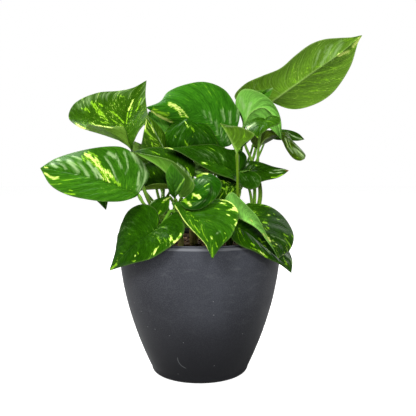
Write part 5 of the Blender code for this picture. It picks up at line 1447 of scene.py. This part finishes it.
def sheath_skin(pebbling):
    """Dry papery brown with darker lengthwise fibres, still green in places."""
    made, nodes, shader = skin("dry_sheath", Specular_IOR_Level=0.3)
    pores = pored(nodes, pebbling, 1100.0, 120.0)[1]
    fibres = nodes.cloud(nodes.note("grain", "Vector"), (1.0, 0.08, 1.0), 1.6, 4.0, 0.7)
    base = nodes.blend(nodes.eased(fibres, 0.35, 0.65), PAPER_DARK, PAPER_PALE)
    base = nodes.layers(base, (pores["Clouds"], 0.7, PAPER_GREEN))
    finish_skin(nodes, shader, base, nodes.eased(fibres, 0.3, 0.7, 0.6, 0.85), fibres, 0.6, 0.3 * MM)
    return made


COMPOST_DARK = (0.018, 0.010, 0.006, 1.0)
COMPOST_PALE = (0.075, 0.042, 0.024, 1.0)
COMPOST_DRY = (0.20, 0.14, 0.085, 1.0)


def soil_skin(pebbling):
    """Dark damp compost with paler dry grains."""
    made, nodes, shader = skin("compost", Specular_IOR_Level=0.25)
    place, pores = pored(nodes, pebbling, 900.0, 160.0)
    dry = nodes.eased(nodes.cloud(place, None, 520.0, 2.0), 0.62, 0.70)
    base = nodes.blend(pores["Clouds"], COMPOST_DARK, COMPOST_PALE)
    base = nodes.layers(base, (dry, 0.6, COMPOST_DRY))
    roughness = nodes.eased(pores["Clouds"], 0.0, 1.0, 0.95, 0.78)
    finish_skin(nodes, shader, base, roughness, pores["Pebbles"], 0.9, 0.5 * MM)
    return made


BARK_DARK = (0.09, 0.045, 0.02, 1.0)
BARK_PALE = (0.30, 0.18, 0.09, 1.0)
BARK_PORES = (0.05, 0.03, 0.018, 1.0)


def bark_skin(pebbling):
    """Chips of bark and old leaf lying on the soil."""
    made, nodes, shader = skin("bark_chips", Specular_IOR_Level=0.25)
    pores = pored(nodes, pebbling, 1500.0, 90.0)[1]
    base = nodes.blend(pores["Clouds"], BARK_DARK, BARK_PALE)
    base = nodes.layers(base, (pores["Pebbles"], 0.5, BARK_PORES))
    roughness = nodes.eased(pores["Pebbles"], 0.3, 0.7, 0.7, 0.9)
    finish_skin(nodes, shader, base, roughness, pores["Pebbles"], 0.7, 0.3 * MM)
    return made


CHARCOAL_DARK = (0.0205, 0.0215, 0.0280, 1.0)
CHARCOAL_PALE = (0.0300, 0.0312, 0.0385, 1.0)
POT_GRIT = (0.085, 0.088, 0.096, 1.0)
# Painted shade, darkening the pot towards its foot
POT_PAINTED_SHADE = (0.0105, 0.0107, 0.0125, 1.0)
# Painted highlight, high on the pot's front
POT_PAINTED_HIGHLIGHT = (0.064, 0.069, 0.083, 1.0)
# Dust film, laid on more thickly towards the top as painted light
POT_FILM_AND_PAINTED_LIGHT = (0.088, 0.092, 0.098, 1.0)
POT_RUB = (0.012, 0.012, 0.014, 1.0)
POT_SPECK = (0.22, 0.22, 0.23, 1.0)
# Painted highlights on the rim's shoulder and on the inner ring's top
RIM_PAINTED_HIGHLIGHT = (0.17, 0.175, 0.19, 1.0)
RING_PAINTED_HIGHLIGHT = (0.13, 0.135, 0.15, 1.0)
NICK_PALE = (0.13, 0.135, 0.14, 1.0)
# Middle and radius of the curved scratch low on the pot's front, and where it ends
NICK_MIDDLE = (-9.5 * MM, -53 * MM, 28.5 * MM)
NICK_RADIUS = 11.2 * MM
NICK_RIGHT_END = -12 * MM
NICK_TOP_END = 30 * MM
# How far from that radius the scratch is gone, and is full
NICK_EDGES = (0.55 * MM, 0.15 * MM)
# Middle of the painted highlight high on its front, how far it reaches and how far it is full
PAINTED_HIGHLIGHT_MIDDLE = (14 * MM, -76 * MM, 116 * MM)
PAINTED_HIGHLIGHT_REACH = 74 * MM
PAINTED_HIGHLIGHT_FULL = 12 * MM
# Heights between which the pot's painted shade, its dust film with painted light and its painted highlight
# bands come in
PAINTED_SHADE_HEIGHTS = (118 * MM, 0.0)
FILM_AND_PAINTED_LIGHT_HEIGHTS = (30 * MM, 125 * MM)
RIM_HIGHLIGHT_FOOT = (130.6 * MM, 131.9 * MM)
RIM_HIGHLIGHT_TOP = (133.8 * MM, 133.2 * MM)
RING_HIGHLIGHT_FOOT = (134.2 * MM, 134.7 * MM)


def pot_skin(pebbling):
    """Satin charcoal plastic: dust film heavier upwards as painted light, painted shade low down, painted
    highlights on front and rim, faint rubs, a few specks and one curved scratch.
    """
    made, nodes, shader = skin("pot_charcoal", Specular_IOR_Level=0.13)
    place, pores = pored(nodes, pebbling, 1300.0, 24.0)
    sides = nodes.add("ShaderNodeSeparateXYZ", {0: place})
    height = sides["Z"]
    smears = nodes.cloud(place, (1.0, 1.0, 2.6), 60.0, 5.0, 0.7)
    grit = nodes.eased(pores["Pebbles"], 0.42, 0.64)
    # A patchy painted highlight high on the front
    painted_highlight = nodes.times(nodes.eased(nodes.distance(place, PAINTED_HIGHLIGHT_MIDDLE), PAINTED_HIGHLIGHT_REACH, PAINTED_HIGHLIGHT_FULL),
                       nodes.eased(pores["Clouds"], 0.0, 1.0, 0.35, 0.55))
    # The dust film thickens towards the top as painted light
    upper = nodes.times(nodes.eased(height, *FILM_AND_PAINTED_LIGHT_HEIGHTS), 0.6)
    film_and_painted_light = nodes.times(nodes.eased(smears, 0.50, 0.78), upper)
    rubs = nodes.eased(nodes.cloud(place, (1.0, 1.0, 0.25), 210.0, 2.0), 0.66, 0.74)
    rubs = nodes.times(rubs, nodes.eased(smears, 0.52, 0.62))
    cells = nodes.add("ShaderNodeTexVoronoi", {"Vector": place, "Scale": 150.0, "Randomness": 1.0})
    chosen = nodes.add("ShaderNodeSeparateColor", {0: cells["Color"]})["Red"]
    specks = nodes.times(nodes.eased(cells["Distance"], 0.085, 0.05), nodes.eased(chosen, 0.70, 0.74))
    # Painted highlights on the rim's shoulder and the inner ring's top
    rim_highlight = nodes.times(nodes.eased(height, *RIM_HIGHLIGHT_FOOT), nodes.eased(height, *RIM_HIGHLIGHT_TOP))
    ring = nodes.eased(height, *RING_HIGHLIGHT_FOOT)
    from_nick = nodes.maths("SUBTRACT", nodes.distance(place, NICK_MIDDLE), NICK_RADIUS)
    nick = nodes.eased(nodes.maths("ABSOLUTE", from_nick, 0.0), *NICK_EDGES)
    nick = nodes.times(nick, nodes.eased(sides["X"], NICK_RIGHT_END, NICK_RIGHT_END - 2 * MM),
                       nodes.eased(height, NICK_TOP_END, NICK_TOP_END - 3 * MM))
    # The height ramp darkens the pot towards its foot as painted shade.
    base = nodes.layers(
        nodes.blend(pores["Clouds"], CHARCOAL_DARK, CHARCOAL_PALE), (grit, 0.36, POT_GRIT),
        (nodes.eased(height, *PAINTED_SHADE_HEIGHTS), 0.92, POT_PAINTED_SHADE), (painted_highlight, 1, POT_PAINTED_HIGHLIGHT), (film_and_painted_light, 1, POT_FILM_AND_PAINTED_LIGHT),
        (rubs, 0.35, POT_RUB), (specks, 0.7, POT_SPECK), (rim_highlight, 0.75, RIM_PAINTED_HIGHLIGHT), (ring, 0.5, RING_PAINTED_HIGHLIGHT),
        (nick, 0.6, NICK_PALE))
    roughness = nodes.plus(nodes.eased(pores["Clouds"], 0.0, 1.0, 0.44, 0.52), nodes.times(film_and_painted_light, 0.4))
    relief = nodes.plus(pores["Pebbles"], nodes.times(smears, 0.5))
    finish_skin(nodes, shader, base, roughness, relief, 0.25, 0.12 * MM)
    return made


FLOOR_DARK = (0.44, 0.44, 0.44, 1.0)
FLOOR_PALE = (0.47, 0.47, 0.47, 1.0)
WHITE = (1.0, 1.0, 1.0, 1.0)


def floor_skin():
    """A plain pale floor that is brighter to the camera than the light it throws back."""
    made, nodes, shader = skin("pale_floor", Roughness=0.75, Specular_IOR_Level=0.1, Emission_Color=WHITE)
    place = nodes.add("ShaderNodeTexCoord", {})["Object"]
    nodes.give(shader["Base Color"], nodes.blend(nodes.cloud(place, None, 3.0, 2.0), FLOOR_DARK, FLOOR_PALE))
    seen = nodes.add("ShaderNodeLightPath", {})["Is Camera Ray"]
    nodes.give(shader["Emission Strength"], nodes.times(seen, FLOOR_GLOW))
    return made


# Studio
FLOOR_SIZE = 9.0
FLOOR_GLOW = 0.93
SKY_SEEN = 1.0
SKY_FILL = 0.12
# Soft lamps: place, what it points at, width, height, watts, and whether it shows as a highlight
LAMPS = {
    "over_head": ((-0.30, 0.45, 1.10), (0.0, 0.0, 0.22), 0.9, 0.5, 16.0, False),
    "over_head_gloss": ((-0.34, 0.42, 1.12), (0.0, 0.0, 0.22), 0.6, 0.4, 6.0, True),
    "front_left": ((-0.55, -0.95, 1.10), (0.0, 0.0, 0.20), 0.5, 0.5, 22.0, False),
    "front_right": ((0.35, -1.15, 0.75), (0.0, 0.0, 0.14), 0.45, 0.45, 11.0, False),
    "behind": ((0.9, 0.9, 0.6), (0.0, 0.0, 0.2), 0.6, 0.6, 4.0, True),
}


def camera():
    lens = bpy.data.cameras.new("photo_camera")
    lens.sensor_width = CAMERA_SENSOR
    lens.lens = CAMERA_LENS
    lens.clip_start = CAMERA_NEAR
    made = bpy.data.objects.new("photo_camera", lens)
    made.location = (0.0, -EYE_DISTANCE * MM, CAMERA_HEIGHT)
    made.rotation_euler = (CAMERA_TILT, 0.0, CAMERA_TURN)
    bpy.context.scene.collection.objects.link(made)
    bpy.context.scene.camera = made


def lamp(name, place, target, width, height, watts, highlights):
    light = bpy.data.lights.new(name, "AREA")
    light.shape = "RECTANGLE"
    light.size = width
    light.size_y = height
    light.energy = watts
    made = bpy.data.objects.new(name, light)
    made.visible_glossy = highlights
    made.location = place
    made.rotation_euler = (Vector(target) - Vector(place)).to_track_quat("-Z", "Y").to_euler()
    bpy.context.scene.collection.objects.link(made)


def sky():
    """White behind the plant, and a weaker fill where it lights the plant."""
    world = bpy.data.worlds.new("studio")
    world.use_nodes = True
    nodes = Recipe(world.node_tree)
    shine = world.node_tree.nodes["Background"].inputs
    seen = nodes.add("ShaderNodeLightPath", {})["Is Camera Ray"]
    nodes.give(shine["Strength"], nodes.eased(seen, 0.0, 1.0, SKY_FILL, SKY_SEEN))
    nodes.give(shine["Color"], WHITE)
    bpy.context.scene.world = world


def studio():
    camera()
    for name, settings in LAMPS.items():
        lamp(name, *settings)
    sky()
    half = FLOOR_SIZE / 2
    corners = [(-half, -half, 0), (half, -half, 0), (half, half, 0), (-half, half, 0)]
    floor = made_piece("floor", corners, [(0, 1, 2, 3)], [0], [floor_skin()], {})
    bpy.context.scene.view_settings.view_transform = "Standard"


def build():
    pebbling = make_grain_effect()
    marking = make_marking_effect()
    veins = make_vein_effect()
    leaf_skins = [leaf_upper_skin(marking, veins, pebbling), leaf_lower_skin(marking, veins, pebbling)]
    stem_skins = [stalk_skin(pebbling), sheath_skin(pebbling)]
    pot(pot_skin(pebbling))
    soil([soil_skin(pebbling), bark_skin(pebbling)])
    for seed, name in enumerate(STEMS):
        stem(name, seed, stem_skins)
    for seed, (name, shape) in enumerate(LEAVES.items()):
        leaf(name, shape, seed, leaf_skins)
    studio()


build()
